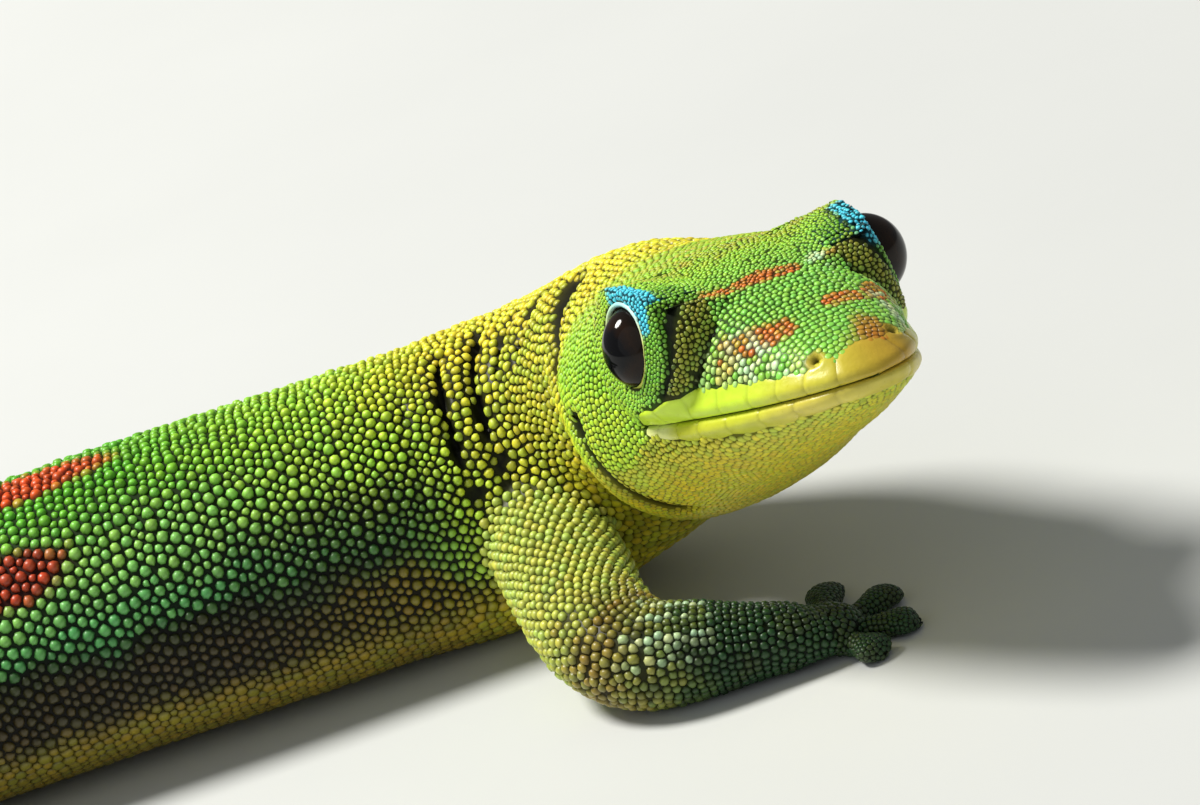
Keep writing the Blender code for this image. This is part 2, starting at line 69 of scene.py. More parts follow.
# %% [markdown]
# The photo was taken from the animal's right, a little above it, with a long lens. The camera's place
# and its two directions were worked out from the eyes, the nostril and the mouth, so the head lands
# on the same spot of the frame.

# %% Camera
CAMERA_PLACE = Vector((23.05, -202.04, 79.27))
CAMERA_RIGHT = Vector((0.9452, -0.0897, -0.3137))
CAMERA_UP = Vector((0.3255, 0.3309, 0.8858))
SENSOR = 36.0
FRAME_WIDTH = 1200
FOCAL_PIXELS = 6510.0

right = CAMERA_RIGHT.normalized()
back = right.cross(CAMERA_UP).normalized()
camera_up = back.cross(right)
camera_data = bpy.data.cameras.new("camera")
camera_data.sensor_width = SENSOR
camera_data.sensor_fit = "HORIZONTAL"
camera_data.lens = SENSOR * FOCAL_PIXELS / FRAME_WIDTH
camera_data.clip_start = 0.001
camera = bpy.data.objects.new("camera", camera_data)
turn_to_view = Matrix((right, camera_up, back)).transposed().to_4x4()
camera.matrix_world = Matrix.Translation(CAMERA_PLACE * MM) @ turn_to_view
bpy.context.scene.collection.objects.link(camera)
bpy.context.scene.camera = camera
print("lens in mm:", round(camera_data.lens, 1))

# %% [markdown]
# A body like this is easiest to describe along its spine. A table gives the half width, the top, the
# bottom and the squareness of the cross-section at some stations from the snout, and a smooth curve
# that never overshoots runs through each column. The numbers repeat the ones of the solids, so that
# skin and solids agree.

# %% Cross-sections
EYE_AT = 8.0
HEAD_RIGID_TO = 15.0
NECK_END = 24.4
CHEST = 31.0
BELLY = 40.0
TAIL_TIP = 127.0
COLUMNS = ["half_width", "top", "bottom", "waist", "upper", "lower"]
SECTIONS = [
    (0.0, 0.02, 0.72, 0.68, 0.70, 2.0, 2.0),
    (0.35, 1.05, 1.25, 0.12, 0.68, 2.1, 2.0),
    (1.0, 1.75, 1.80, -0.36, 0.60, 2.3, 2.0),
    (2.0, 2.35, 2.25, -0.85, 0.45, 2.4, 2.0),
    (4.0, 3.15, 2.90, -1.68, 0.15, 2.4, 2.1),
    (6.0, 3.85, 3.40, -2.52, -0.10, 2.4, 2.2),
    (EYE_AT, 4.30, 3.75, -3.32, -0.35, 2.4, 2.2),
    (10.0, 4.95, 3.85, -4.18, -0.50, 2.4, 2.2),
    (11.5, 5.40, 3.70, -4.82, -0.55, 2.3, 2.2),
    (13.0, 5.25, 3.50, -5.34, -0.55, 2.2, 2.2),
    (HEAD_RIGID_TO, 4.70, 3.25, -5.75, -0.50, 2.1, 2.1),
    (17.5, 4.20, 3.35, -5.80, -0.40, 2.1, 2.1),
    (21.0, 4.25, 3.95, -5.60, -0.30, 2.1, 2.1),
    (26.0, 4.90, 4.90, -5.20, -0.60, 2.1, 2.5),
    (CHEST, 5.20, 5.20, -4.45, -0.60, 2.1, 2.6),
    (BELLY, 5.50, 5.15, -4.60, -0.60, 2.1, 2.3),
    (49.0, 5.40, 4.70, -4.50, -0.60, 2.1, 2.3),
    (55.0, 4.60, 4.00, -3.90, -0.40, 2.1, 2.3),
    (60.0, 3.80, 3.20, -3.10, -0.20, 2.1, 2.2),
    (64.0, 3.50, 2.75, -2.60, -0.20, 2.1, 2.2),
    (70.0, 3.70, 2.50, -2.35, -0.20, 2.2, 2.3),
    (80.0, 3.90, 2.20, -2.10, -0.20, 2.3, 2.4),
    (95.0, 3.30, 1.75, -1.65, -0.15, 2.3, 2.4),
    (108.0, 2.30, 1.25, -1.20, -0.10, 2.2, 2.3),
    (118.0, 1.35, 0.80, -0.75, -0.05, 2.1, 2.2),
    (124.5, 0.62, 0.42, -0.38, 0.0, 2.0, 2.0),
    (TAIL_TIP, 0.06, 0.06, -0.05, 0.0, 2.0, 2.0),
]


def smoothstep(value):
    value = np.clip(value, 0.0, 1.0)
    return value * value * (3.0 - 2.0 * value)


class Through:
    """A smooth curve through values at keys, with no overshoot between them."""

    def __init__(self, keys, values):
        self.keys = np.asarray(keys, float)
        self.values = np.asarray(values, float)
        self.steps = np.diff(self.keys)
        slopes = np.diff(self.values) / self.steps
        self.tangents = np.zeros(len(self.keys))
        for i in range(1, len(self.keys) - 1):
            before, after = slopes[i - 1], slopes[i]
            if before * after > 0:
                first = 2 * self.steps[i] + self.steps[i - 1]
                second = self.steps[i] + 2 * self.steps[i - 1]
                self.tangents[i] = (first + second) / (first / before + second / after)
        self.tangents[0], self.tangents[-1] = slopes[0], slopes[-1]

    def __call__(self, at):
        at = np.asarray(at, float)
        i = np.clip(np.searchsorted(self.keys, at, side="right") - 1, 0, len(self.steps) - 1)
        t = (at - self.keys[i]) / self.steps[i]
        rise = self.values[i] * (1 + 2 * t) * (1 - t) ** 2 + self.values[i + 1] * t * t * (3 - 2 * t)
        lean = self.tangents[i] * t * (1 - t) ** 2 + self.tangents[i + 1] * t * t * (t - 1)
        return rise + self.steps[i] * lean


size_columns = list(zip(*SECTIONS))
SIZE = {name: Through(size_columns[0], column) for name, column in zip(COLUMNS, size_columns[1:])}
print("half width at the eyes in mm:", float(SIZE["half_width"](EYE_AT)))

# %% [markdown]
# The spine is a line that turns and climbs. Each bend is eased in and out, so the neck curls round
# to the right without a corner. Along the belly and the tail its height follows from the depth of
# the body below it, which keeps the underside on the floor.

# %% Spine
FLATTENED = 0.12
HEAD_YAW = -69.0
YAW_BENDS = [(14.5, 29.0, 69.0), (60.0, 84.0, -34.0), (84.0, 122.0, 52.0)]
HEAD_PITCH = 5.0
PITCH_BENDS = [(14.5, 20.0, 27.0), (20.0, CHEST, -32.0)]
HEAD_ROLL = -4.5
SPINE_STEP = 0.25


def bent(start, bends, at):
    return start + sum(turn * smoothstep((at - a) / (b - a)) for a, b, turn in bends)


def spine_line():
    """Stations, points, yaw and pitch of the spine."""
    at = np.arange(0.0, TAIL_TIP + SPINE_STEP / 2, SPINE_STEP)
    yaw = np.radians(bent(HEAD_YAW, YAW_BENDS, at))
    slope = np.radians(bent(HEAD_PITCH, PITCH_BENDS, at))
    height = -SIZE["bottom"](at) - FLATTENED
    for i in range(int(round(CHEST / SPINE_STEP)) - 1, -1, -1):
        height[i] = height[i + 1] + math.sin(slope[i]) * SPINE_STEP
    pitch = np.where(at < CHEST, slope, -np.arcsin(np.gradient(height, SPINE_STEP)))
    run = np.cos(pitch) * SPINE_STEP
    x = -np.cumsum(np.cos(yaw) * run)
    y = -np.cumsum(np.sin(yaw) * run)
    middle = int(round(BELLY / SPINE_STEP))
    return at, np.stack([x - x[middle], y - y[middle], height], axis=1), yaw, pitch


SPINE_AT, SPINE_POINTS, SPINE_YAW, SPINE_PITCH = spine_line()


def unit(vectors):
    return vectors / np.maximum(np.linalg.norm(vectors, axis=-1, keepdims=True), 1e-9)


def spine_frame(at):
    """For each station, the point of the spine and the forward, left and up directions."""
    at = np.asarray(at, float)
    point = np.stack([np.interp(at, SPINE_AT, SPINE_POINTS[:, k]) for k in range(3)], axis=-1)
    yaw = np.interp(at, SPINE_AT, SPINE_YAW)
    pitch = np.interp(at, SPINE_AT, SPINE_PITCH)
    roll = math.radians(HEAD_ROLL) * (1 - smoothstep((at - HEAD_RIGID_TO) / 12.0))
    forward = np.stack([np.cos(pitch) * np.cos(yaw), np.cos(pitch) * np.sin(yaw), np.sin(pitch)], axis=-1)
    level = np.stack([-np.sin(yaw), np.cos(yaw), np.zeros_like(yaw)], axis=-1)
    left = level * np.cos(roll)[..., None] + np.cross(forward, level) * np.sin(roll)[..., None]
    return point, forward, left, np.cross(forward, left)


EYE_LEVEL = 2.6
head_point, head_forward, head_left, head_up = [v[0] for v in spine_frame([EYE_AT])]
HEAD_AXES = np.stack([head_forward, head_left, head_up])
HEAD_MIDDLE = head_point + head_up * EYE_LEVEL


def to_head(points):
    """World points as forward, left and up of the point midway between the eyes."""
    return (points - HEAD_MIDDLE) @ HEAD_AXES.T


def from_head(points):
    return np.asarray(points) @ HEAD_AXES + HEAD_MIDDLE


print("midway between the eyes, mm:", HEAD_MIDDLE.round(2))

# %% [markdown]
# Each eye sits in a mound, and the mouth is a fine groove between two soft lips that runs round the
# tip of the snout. Both are part of the same surface: the mound lifts what is near the eye's axis,
# and the lips move the surface outward just above and below the widest level. The left eye looks
# further out and up, so its mound and lids lie lower. Values for one side are kept under +1 for the
# animal's left and -1 for its right.

# %% The surface of head, trunk and tail
COAT = 0.13
GLOBE_CENTRE = np.array([0.05, 3.95, -0.35])
EYE_FORWARD = math.radians(8.0)
EYE_UP = math.radians(8.0)
ORBIT_RADIUS = 2.75
ORBIT_HEIGHT = {1: 0.18, -1: 0.64}
ORBIT_BLEND = 0.45
BROW_HEIGHT = {1: 0.17, -1: 0.24}
MOUTH_CORNER = 8.9
GROOVE_DEPTH = 0.22
GROOVE_WIDTH = 0.06
LIP_RISE = 0.10
LIP_OFFSET = 0.36
LIP_WIDTH = 0.22


def on_side(point, side):
    """The point on the animal's left (+1) or right (-1) side of the head."""
    return np.array([point[0], point[1] * side, point[2]])


def eye_facing(side):
    level = math.cos(EYE_UP)
    return np.array([math.sin(EYE_FORWARD) * level, side * math.cos(EYE_FORWARD) * level, math.sin(EYE_UP)])


def eye_axes(side):
    """Directions forward along the rim, up the rim and outward, in the head's own frame."""
    out = eye_facing(side)
    up = unit(np.array([0.0, 0.0, 1.0]) - out[2] * out)
    return np.cross(up, out) * -side, up, out


def with_orbits(place):
    local = to_head(place)
    for side in (1, -1):
        axis = eye_facing(side)
        offset = local - on_side(GLOBE_CENTRE, side)
        height = offset @ axis
        away = np.linalg.norm(offset - height[:, None] * axis, axis=1) / ORBIT_RADIUS
        inside = (height > -2.2) & (away < 1.0)
        mound = ORBIT_HEIGHT[side] * np.sqrt(np.clip(1 - away * away, 0, 1))
        raised = (height + mound + np.hypot(height - mound, ORBIT_BLEND)) / 2
        lift = (raised - height) * (1 - smoothstep((away - 0.75) / 0.25)) * inside
        local = local + lift[:, None] * axis
        up = eye_axes(side)[1]
        steep = (offset @ up) / np.maximum(away * ORBIT_RADIUS, 1e-6)
        brow = np.exp(-(((away * ORBIT_RADIUS - 1.75) / 0.52) ** 2)) * smoothstep((steep - 0.58) / 0.36)
        local = local + (BROW_HEIGHT[side] * brow * inside * smoothstep((raised + 1.3) / 0.9))[:, None] * up
    return from_head(local)


def lip_rise(at, above):
    groove = np.exp(-((above / GROOVE_WIDTH) ** 2))
    lip = np.exp(-(((np.abs(above) - LIP_OFFSET) / LIP_WIDTH) ** 2))
    fade = 1 - smoothstep((at - MOUTH_CORNER + 0.4) / 0.8)
    return (LIP_RISE * lip - GROOVE_DEPTH * groove) * fade


def signed_power(value, square):
    return np.sign(value) * np.abs(value) ** (2.0 / square)


def body_point(at, turn, sink=COAT):
    """Points of the surface at stations, at angles counted from the animal's left over its back."""
    at, turn = np.broadcast_arrays(np.asarray(at, float), np.asarray(turn, float))
    size = {name: curve(at) for name, curve in SIZE.items()}
    point, forward, left, up = spine_frame(at)
    c, s = np.cos(turn), np.sin(turn)
    square = np.where(s > 0, size["upper"], size["lower"])
    reach = np.where(s > 0, size["top"] - size["waist"], size["waist"] - size["bottom"])
    sink = np.minimum(sink, 0.35 * np.minimum(size["half_width"], reach))
    across = (size["half_width"] - sink) * signed_power(c, square)
    above = (reach - sink) * signed_power(s, square)
    place = point + left * across[:, None] + up * (size["waist"] + above)[:, None]
    widening = (SIZE["half_width"](at + 0.05) - size["half_width"]) / 0.05
    outward = unit(left * np.sign(c)[:, None] + forward * widening[:, None])
    lips = np.where(at < MOUTH_CORNER + 1.0, lip_rise(at, above), 0.0)
    place = place + outward * lips[:, None]
    head = at < HEAD_RIGID_TO
    if head.any():
        place[head] = with_orbits(place[head])
    place[:, 2] = np.where(at >= NECK_END, np.maximum(place[:, 2], 0.0), place[:, 2])
    return place


# %% [markdown]
# The skin is a net of rings. Points are shared out evenly round each ring, closer together along the
# mouth, where the groove is finer than anything else. Every point remembers its station and its
# angle, because the folds, the colours and the scales are all described in those two numbers.

# %% A net over the body
AROUND = 144
UPPER_POINTS = 78
MOUTH_CROWDING = 0.55


def ring_angles(at):
    """Angles that share the ring out evenly, crowded towards the mouth on the head."""
    dense = np.linspace(0.0, 2 * math.pi, 721)
    ring = body_point(np.full(721, at), dense)
    steps = np.linalg.norm(np.diff(ring, axis=0), axis=1)
    along = np.concatenate([[0.0], np.cumsum(steps)])
    crowding = MOUTH_CROWDING * (1 - smoothstep((at - MOUTH_CORNER) / 3.0))
    half = along[360]
    shares = []
    for start, end, count in ((0.0, half, UPPER_POINTS), (half, along[-1], AROUND - UPPER_POINTS)):
        t = np.arange(count) / count
        t = t * (1 - crowding) + crowding * (1 - np.cos(math.pi * t)) / 2
        shares.append(start + (end - start) * t)
    return np.interp(np.concatenate(shares), along, dense)


ring_stations = np.concatenate([
    [0.07, 0.13, 0.2, 0.28],
    np.arange(0.36, 16.0, 0.11),
    np.arange(16.0, 46.0, 0.30),
    np.arange(46.0, TAIL_TIP - 0.3, 0.45),
    [TAIL_TIP - 0.15],
])
RINGS = len(ring_stations)
net_at = np.repeat(ring_stations, AROUND)
net_turn = np.concatenate([ring_angles(at) for at in ring_stations])
net = body_point(net_at, net_turn)
print("rings in the net:", RINGS, "points:", len(net))


def net_normals(points):
    """Outward directions of the net, from the differences between its neighbours."""
    grid = points.reshape(RINGS, AROUND, 3)
    along = np.gradient(grid, axis=0)
    around = np.roll(grid, -1, axis=1) - np.roll(grid, 1, axis=1)
    return unit(np.cross(along, around)).reshape(-1, 3)


net_facing = net_normals(net)
middle = spine_frame(net_at)[0]
print("share of normals that point outward:", float((((net - middle) * net_facing).sum(1) > 0).mean()))

# %% [markdown]
# The neck is bent hard to the right, so its skin lies there in deep dark folds, and the jaw stands
# out over the neck in a sharp edge. A fold is a line across the body, given by its station at some
# angles, with a depth and a width on each side. All folds are pressed into the net along its normals.

# %% Folds of the neck and the jaw
Fold = namedtuple("Fold", "turns stations depth ahead behind")
FOLDS = [
    Fold([104, 118, 130, 142, 155, 165, 172, 178, 188, 200, 220, 245],
         [16.9, 16.7, 16.5, 15.9, 15.0, 14.9, 14.3, 12.9, 11.8, 11.5, 11.25, 11.1], 0.44, 0.13, 0.80),
    Fold([98, 118, 145, 160, 172], [25.0, 25.2, 25.6, 25.8, 26.0], 0.56, 0.30, 0.30),
    Fold([95, 118, 150, 165, 174, 184], [22.8, 23.0, 23.2, 23.5, 23.8, 24.0], 0.56, 0.30, 0.31),
    Fold([104, 116, 130, 142], [20.6, 20.8, 21.1, 21.4], 0.38, 0.20, 0.22),
    Fold([92, 112, 134, 150], [19.0, 19.1, 19.4, 19.9], 0.34, 0.16, 0.2),
    Fold([112, 135, 150, 165], [27.6, 27.9, 28.2, 28.5], 0.12, 0.18, 0.2),
    Fold([82, 50, 20, 8, 0, -20, -45, -65],
         [15.8, 15.2, 14.2, 13.2, 12.6, 12.0, 11.6, 11.3], 0.16, 0.16, 0.6),
    Fold([60, 30, 5, -15], [24.5, 24.8, 25.2, 25.4], 0.12, 0.2, 0.25),
    Fold([200, 225, 250, 280, 310, 335], [14.5, 15.0, 15.4, 15.5, 15.2, 14.8], 0.16, 0.18, 0.3),
    Fold([205, 230, 265, 300, 330], [19.5, 19.9, 20.2, 20.0, 19.6], 0.12, 0.2, 0.3),
]
FOLD_END = 9.0


def fold_depth(at, turn):
    """How far the folds press the skin in, in mm, at stations and angles in degrees."""
    depth = np.zeros(len(at))
    for fold in FOLDS:
        turns, stations = np.array(fold.turns, float), np.array(fold.stations, float)
        order = np.argsort(turns)
        low, high = turns.min(), turns.max()
        local = (turn - (low + high) / 2 + 180.0) % 360.0 - 180.0 + (low + high) / 2
        gap = at - np.interp(local, turns[order], stations[order])
        width = np.where(gap < 0, fold.ahead, fold.behind)
        ends = smoothstep((local - low) / FOLD_END) * smoothstep((high - local) / FOLD_END)
        depth = np.maximum(depth, fold.depth * np.exp(-((gap / width) ** 2)) * ends)
    return depth


# %% [markdown]
# Round each eye the skin lies in rings: the rim of the lids, then two creases in front of the mound.
# The opening is an upright almond, a little pointed below. Its shape is one formula, used for the
# hole in the skin, the pale rim and the rings of tiny scales.

# %% Openings and creases of the head
OPENING_HALF_WIDTH = {1: 1.06, -1: 1.0}
OPENING_HALF_HEIGHT = {1: 1.33, -1: 1.27}
OPENING_LEAN = math.radians(-8.0)
OPENING_OFFSET = (0.02, 0.10)
BELOW_NARROWER = 0.16
SOCKET_DEPTH = 0.75
Crease = namedtuple("Crease", "radius depth width start end")
EYE_CREASES = [Crease(2.08, 0.19, 0.11, -66.0, 56.0), Crease(2.62, 0.18, 0.10, -48.0, 36.0)]
CREASE_END = 12.0
TOP_STRETCH = 0.10
EAR = np.array([-4.15, 5.15, -3.15])
EAR_SIZE = np.array([0.42, 0.6, 0.5])
EAR_DEPTH = 0.55
NOSTRIL = np.array([6.78, 1.38, -1.0])
NOSTRIL_RADIUS = 0.17
NOSTRIL_DEPTH = 0.42


def narrowing(height):
    """How much narrower the opening is at a height, -1 at its foot and 1 at its top."""
    return 1.0 - BELOW_NARROWER * np.clip(-height, -1.0, 1.0)


def leaned(x, y, angle):
    c, s = math.cos(angle), math.sin(angle)
    return x * c - y * s, x * s + y * c


def opening_size(points, side):
    """How far head points lie from the middle of the eye's opening, 1 on its edge, and their angle."""
    ahead, up, out = eye_axes(side)
    offset = points - on_side(GLOBE_CENTRE, side)
    x = offset @ ahead - OPENING_OFFSET[0]
    y = offset @ up - OPENING_OFFSET[1]
    x, y = leaned(x, y, OPENING_LEAN)
    narrow = narrowing(y / OPENING_HALF_HEIGHT[side])
    size = np.hypot(x / (OPENING_HALF_WIDTH[side] * narrow), y / OPENING_HALF_HEIGHT[side])
    return size, np.arctan2(y, x), offset @ out, np.hypot(x, y)


def ring_place(points, side):
    """The angle of points round one eye in degrees, their height and the radius of their ring."""
    _, angle, height, away = opening_size(points, side)
    return np.degrees(angle), height, away / (1 + TOP_STRETCH * np.clip(np.sin(angle), 0, 1) ** 2)


def crease_depth(points, side):
    """How far the creases round one eye press the skin in, in mm."""
    degrees, height, away = ring_place(points, side)
    depth = np.zeros(len(points))
    for crease in EYE_CREASES:
        starts = smoothstep((degrees - crease.start) / CREASE_END)
        ends = smoothstep((crease.end - degrees) / CREASE_END)
        line = np.exp(-(((away - crease.radius) / crease.width) ** 2))
        depth = np.maximum(depth, crease.depth * (starts * ends) * line * (height > -1.2))
    return depth


def head_relief(points, side):
    """How far the openings and creases of one side move the skin outward."""
    size, _, height, _ = opening_size(points, side)
    moved = -SOCKET_DEPTH * (1 - smoothstep((size - 0.97) / 0.1)) * (height > 0)
    moved -= crease_depth(points, side)
    ear = np.linalg.norm((points - on_side(EAR, side)) / EAR_SIZE, axis=1)
    moved -= EAR_DEPTH * np.exp(-(ear**4))
    nostril = np.linalg.norm(points - on_side(NOSTRIL, side), axis=1) / NOSTRIL_RADIUS
    moved -= NOSTRIL_DEPTH * np.exp(-(nostril**4))
    moved += 0.035 * np.exp(-(((nostril - 1.8) / 0.5) ** 2))
    return moved


def relief(at, turn, points):
    moved = -fold_depth(at, np.degrees(turn))
    local = to_head(points)
    for side in (1, -1):
        here = (at < HEAD_RIGID_TO) & (local[:, 1] * side > 0)
        moved[here] += head_relief(local[here], side)
    return moved


net = net + net_facing * relief(net_at, net_turn, net)[:, None]
FLOOR_COAT = 0.06
net[:, 2] = np.maximum(net[:, 2], FLOOR_COAT)
print("deepest fold in mm:", round(float(fold_depth(net_at, np.degrees(net_turn)).max()), 2))

# %% [markdown]
# A leg is a tube round a smooth line through four joints, flat towards the palm, and a toe is a
# narrow shaft that widens into a round pad. The joints and the widths are those of the solids.

# %% Legs and toes
Leg = namedtuple("Leg", "name joints widths toe_yaw toe_lengths toe_fan")
FORE_WIDTHS = [2.3, 2.1, 1.95, 1.70, 1.28, 1.42]
HIND_WIDTHS = [2.9, 2.5, 1.85, 1.7, 1.25, 1.5]
FORE_TOES = [1.5, 4.0, 3.1, 2.6, 2.2]
HIND_TOES = [1.8, 3.6, 4.5, 5.0, 4.0]
FORE_FAN = [98.0, 54.0, 13.0, -40.0, -84.0]
HIND_FAN = [70.0, 36.0, 10.0, -16.0, -62.0]
LEGS = [
    Leg("right_fore", [(14.6, -1.8, 4.4), (15.7, -12.3, 1.85), (21.0, -13.2, 1.15), (22.4, -12.9, 0.78)],
        FORE_WIDTHS, 30.0, FORE_TOES, FORE_FAN),
    Leg("left_fore", [(13.8, 1.8, 4.4), (10.6, 9.6, 2.6), (14.8, 13.0, 1.35), (16.3, 14.2, 0.75)],
        FORE_WIDTHS, 32.0, FORE_TOES, FORE_FAN),
    Leg("right_hind", [(-15.4, -1.4, 4.0), (-9.2, -9.4, 3.4), (-15.2, -13.4, 1.5), (-15.0, -15.6, 0.8)],
        HIND_WIDTHS, -48.0, HIND_TOES, HIND_FAN),
    Leg("left_hind", [(-15.4, 1.4, 4.0), (-12.6, 10.4, 3.2), (-20.4, 12.2, 1.5), (-21.2, 14.4, 0.8)],
        HIND_WIDTHS, 76.0, HIND_TOES, HIND_FAN),
]
LEG_FLATNESS = 0.92
PALM_FLATNESS = 0.55
LEG_RINGS = 60
LEG_AROUND = 40
TOE_PAD = 0.82
TOE_SHAFT = 0.50
TOE_HEIGHT = 0.55
TOE_KEYS = [0.0, 0.40, 0.68, 0.82, 0.93, 1.0]
TOE_WIDTH = Through(TOE_KEYS, np.array([1.25 * TOE_SHAFT, TOE_SHAFT, 0.9 * TOE_PAD, TOE_PAD,
                                        0.82 * TOE_PAD, 0.32 * TOE_PAD]))
TOE_TALL = Through(TOE_KEYS, TOE_HEIGHT * np.array([1.25, 0.95, 0.95, 0.92, 0.80, 0.40]))
TOE_ROOT = 0.55
TOE_SUNK = 0.20
TOE_RINGS = 20
TOE_AROUND = 20
LEG_COAT = 0.10
TOE_COAT = 0.16


class LegLine:
    """The smooth middle line of a leg, read by its share of the whole length."""

    def __init__(self, leg):
        root, joint, wrist, palm = [Vector(p) for p in leg.joints]
        line = [root, root.lerp(joint, 0.3), joint, joint.lerp(wrist, 0.7), wrist, palm]
        for _ in range(4):
            corners = [line[0]]
            for a, b in zip(line, line[1:]):
                corners += [a.lerp(b, 0.25), a.lerp(b, 0.75)]
            line = corners + [line[-1]]
        self.points = np.array(line)
        along = np.concatenate([[0], np.cumsum(np.linalg.norm(np.diff(self.points, axis=0), axis=1))])
        self.length = along[-1]
        self.along = along / self.length
        self.joint_at = self.nearest(joint)
        self.wrist_at = self.nearest(wrist)
        halfway = (self.joint_at + self.wrist_at) / 2
        keys = [0.0, self.joint_at / 2, self.joint_at, halfway, self.wrist_at, 1.0]
        self.width = Through(keys, leg.widths)

    def nearest(self, point):
        return float(self.along[np.argmin(np.linalg.norm(self.points - np.array(point), axis=1))])

    def at(self, share):
        return np.stack([np.interp(share, self.along, self.points[:, k]) for k in range(3)], axis=-1)

    def surface(self, share, turn, sink=LEG_COAT):
        """Points of the leg's surface at shares of its length and at angles round it."""
        forward = unit(self.at(np.minimum(share + 0.02, 1.0)) - self.at(np.maximum(share - 0.02, 0.0)))
        side = unit(np.cross([0.0, 0.0, 1.0], forward))
        palm = smoothstep((share - self.wrist_at) / (1.0 - self.wrist_at))
        width = self.width(share)
        tall = width * (LEG_FLATNESS + (PALM_FLATNESS - LEG_FLATNESS) * palm)
        across = (width - sink) * np.cos(turn)
        above = (tall - sink) * np.sin(turn)
        return self.at(share) + side * across[..., None] + np.cross(forward, side) * above[..., None]


def toe_surface(start, heading, length, share, turn, sink=TOE_COAT):
    forward = np.array([math.cos(heading), math.sin(heading), 0.0])
    side = np.array([-forward[1], forward[0], 0.0])
    tall = TOE_TALL(share)
    centre = start + share[..., None] * (length - sink) * forward
    centre[..., 2] = tall * (1 - TOE_SUNK)
    across = (TOE_WIDTH(share) - sink) * np.cos(turn)
    above = (tall - sink) * np.sin(turn)
    return centre + across[..., None] * side + above[..., None] * np.array([0.0, 0.0, 1.0])


def toes_of(leg, line):
    """Start, heading and length of each toe."""
    yaw = math.radians(leg.toe_yaw)
    handed = 1 if leg.name.startswith("right") else -1
    for length, fan in zip(leg.toe_lengths, leg.toe_fan):
        heading = yaw + handed * math.radians(fan)
        start = line.at(1.0) + TOE_ROOT * np.array([math.cos(heading), math.sin(heading), 0.0])
        yield start, heading, length


def grid(first, second):
    return [part.ravel() for part in np.meshgrid(first, second, indexing="ij")]


def turns(count):
    return np.arange(count) * 2 * math.pi / count


lines = {leg.name: LegLine(leg) for leg in LEGS}
print("leg lengths in mm:", {name: round(float(line.length), 1) for name, line in lines.items()})

# %% [markdown]
# The legs are joined to the body with one Boolean union, so the skin is a single closed surface. The
# corner where a leg leaves the trunk is then relaxed: near it every point moves a little towards the
# mean of its neighbours, again and again, which leaves a soft hollow like an armpit.

# %% One skin
def closed_net(name, points, around):
    """A closed mesh object through rings of points."""
    count = len(points) // around
    i, j = grid(np.arange(count - 1), np.arange(around))
    k = (j + 1) % around
    quads = np.stack([i * around + j, i * around + k, (i + 1) * around + k, (i + 1) * around + j], axis=1)
    caps = [list(range(around)), list(range((count - 1) * around, count * around))[::-1]]
    faces = quads[:, ::-1].tolist() + caps
    a, b, c, d = (points[quads[:, m]] - points.mean(0) for m in range(4))
    volume = (np.cross(b - a, c - a) * a).sum() + (np.cross(c - a, d - a) * a).sum()
    if volume > 0:
        faces = [list(reversed(face)) for face in faces]
    mesh = bpy.data.meshes.new(name)
    mesh.from_pydata((points * MM).tolist(), [], faces)
    mesh.validate()
    made = bpy.data.objects.new(name, mesh)
    bpy.context.scene.collection.objects.link(made)
    return made


def palm_end(leg, line):
    """The rounded end of the palm as shares of a turn from pole to pole."""
    width = leg.widths[-1] - TOE_COAT
    rise, turn = grid(np.linspace(0.02, math.pi - 0.02, 14), turns(24))
    forward = np.array([math.cos(math.radians(leg.toe_yaw)), math.sin(math.radians(leg.toe_yaw)), 0.0])
    side = np.array([-forward[1], forward[0], 0.0])
    flat = width * np.sin(rise)
    points = line.at(1.0) + np.outer(width * np.cos(rise), forward) + np.outer(flat * np.cos(turn), side)
    points[:, 2] += PALM_FLATNESS * flat * np.sin(turn)
    return points


limb_nets = []
pieces = []
for leg_number, leg in enumerate(LEGS):
    line = lines[leg.name]
    share, turn = grid(np.linspace(0.0, 1.0, LEG_RINGS), turns(LEG_AROUND))
    points = line.surface(share, turn)
    limb_nets.append((points, np.full(len(points), leg_number), share, turn))
    pieces.append(closed_net(leg.name, points, LEG_AROUND))
    pieces.append(closed_net("palm_end", palm_end(leg, line), 24))
    for start, heading, length in toes_of(leg, line):
        share, turn = grid(1 - (1 - np.linspace(0.0, 1.0, TOE_RINGS)) ** 1.6, turns(TOE_AROUND))
        points = toe_surface(start, heading, length, share, turn)
        limb_nets.append((points, np.full(len(points), leg_number), 1.0 + share, turn))
        pieces.append(closed_net("toe", points, TOE_AROUND))

skin = closed_net("skin", net, AROUND)
union = skin.modifiers.new("join_legs", "BOOLEAN")
union.operation = "UNION"
union.operand_type = "COLLECTION"
union.solver = "MANIFOLD"
limb_group = bpy.data.collections.new("limbs")
bpy.context.scene.collection.children.link(limb_group)
for piece in pieces:
    bpy.context.scene.collection.objects.unlink(piece)
    limb_group.objects.link(piece)
union.collection = limb_group
bpy.context.view_layer.update()
joined = bpy.data.meshes.new_from_object(skin.evaluated_get(bpy.context.evaluated_depsgraph_get()))
skin.modifiers.clear()
skin.data = joined
for piece in pieces:
    bpy.data.objects.remove(piece)
bpy.data.collections.remove(limb_group)
print("skin after the union:", len(joined.vertices), "points", len(joined.polygons), "faces")

# %% [markdown]
# Every point of the joined skin is traced back to the net it came from, which gives its region, its
# place along the body or leg and its angle. The traces serve three jobs: easing the corners at the
# legs, colouring, and laying the surface flat for the texture map.

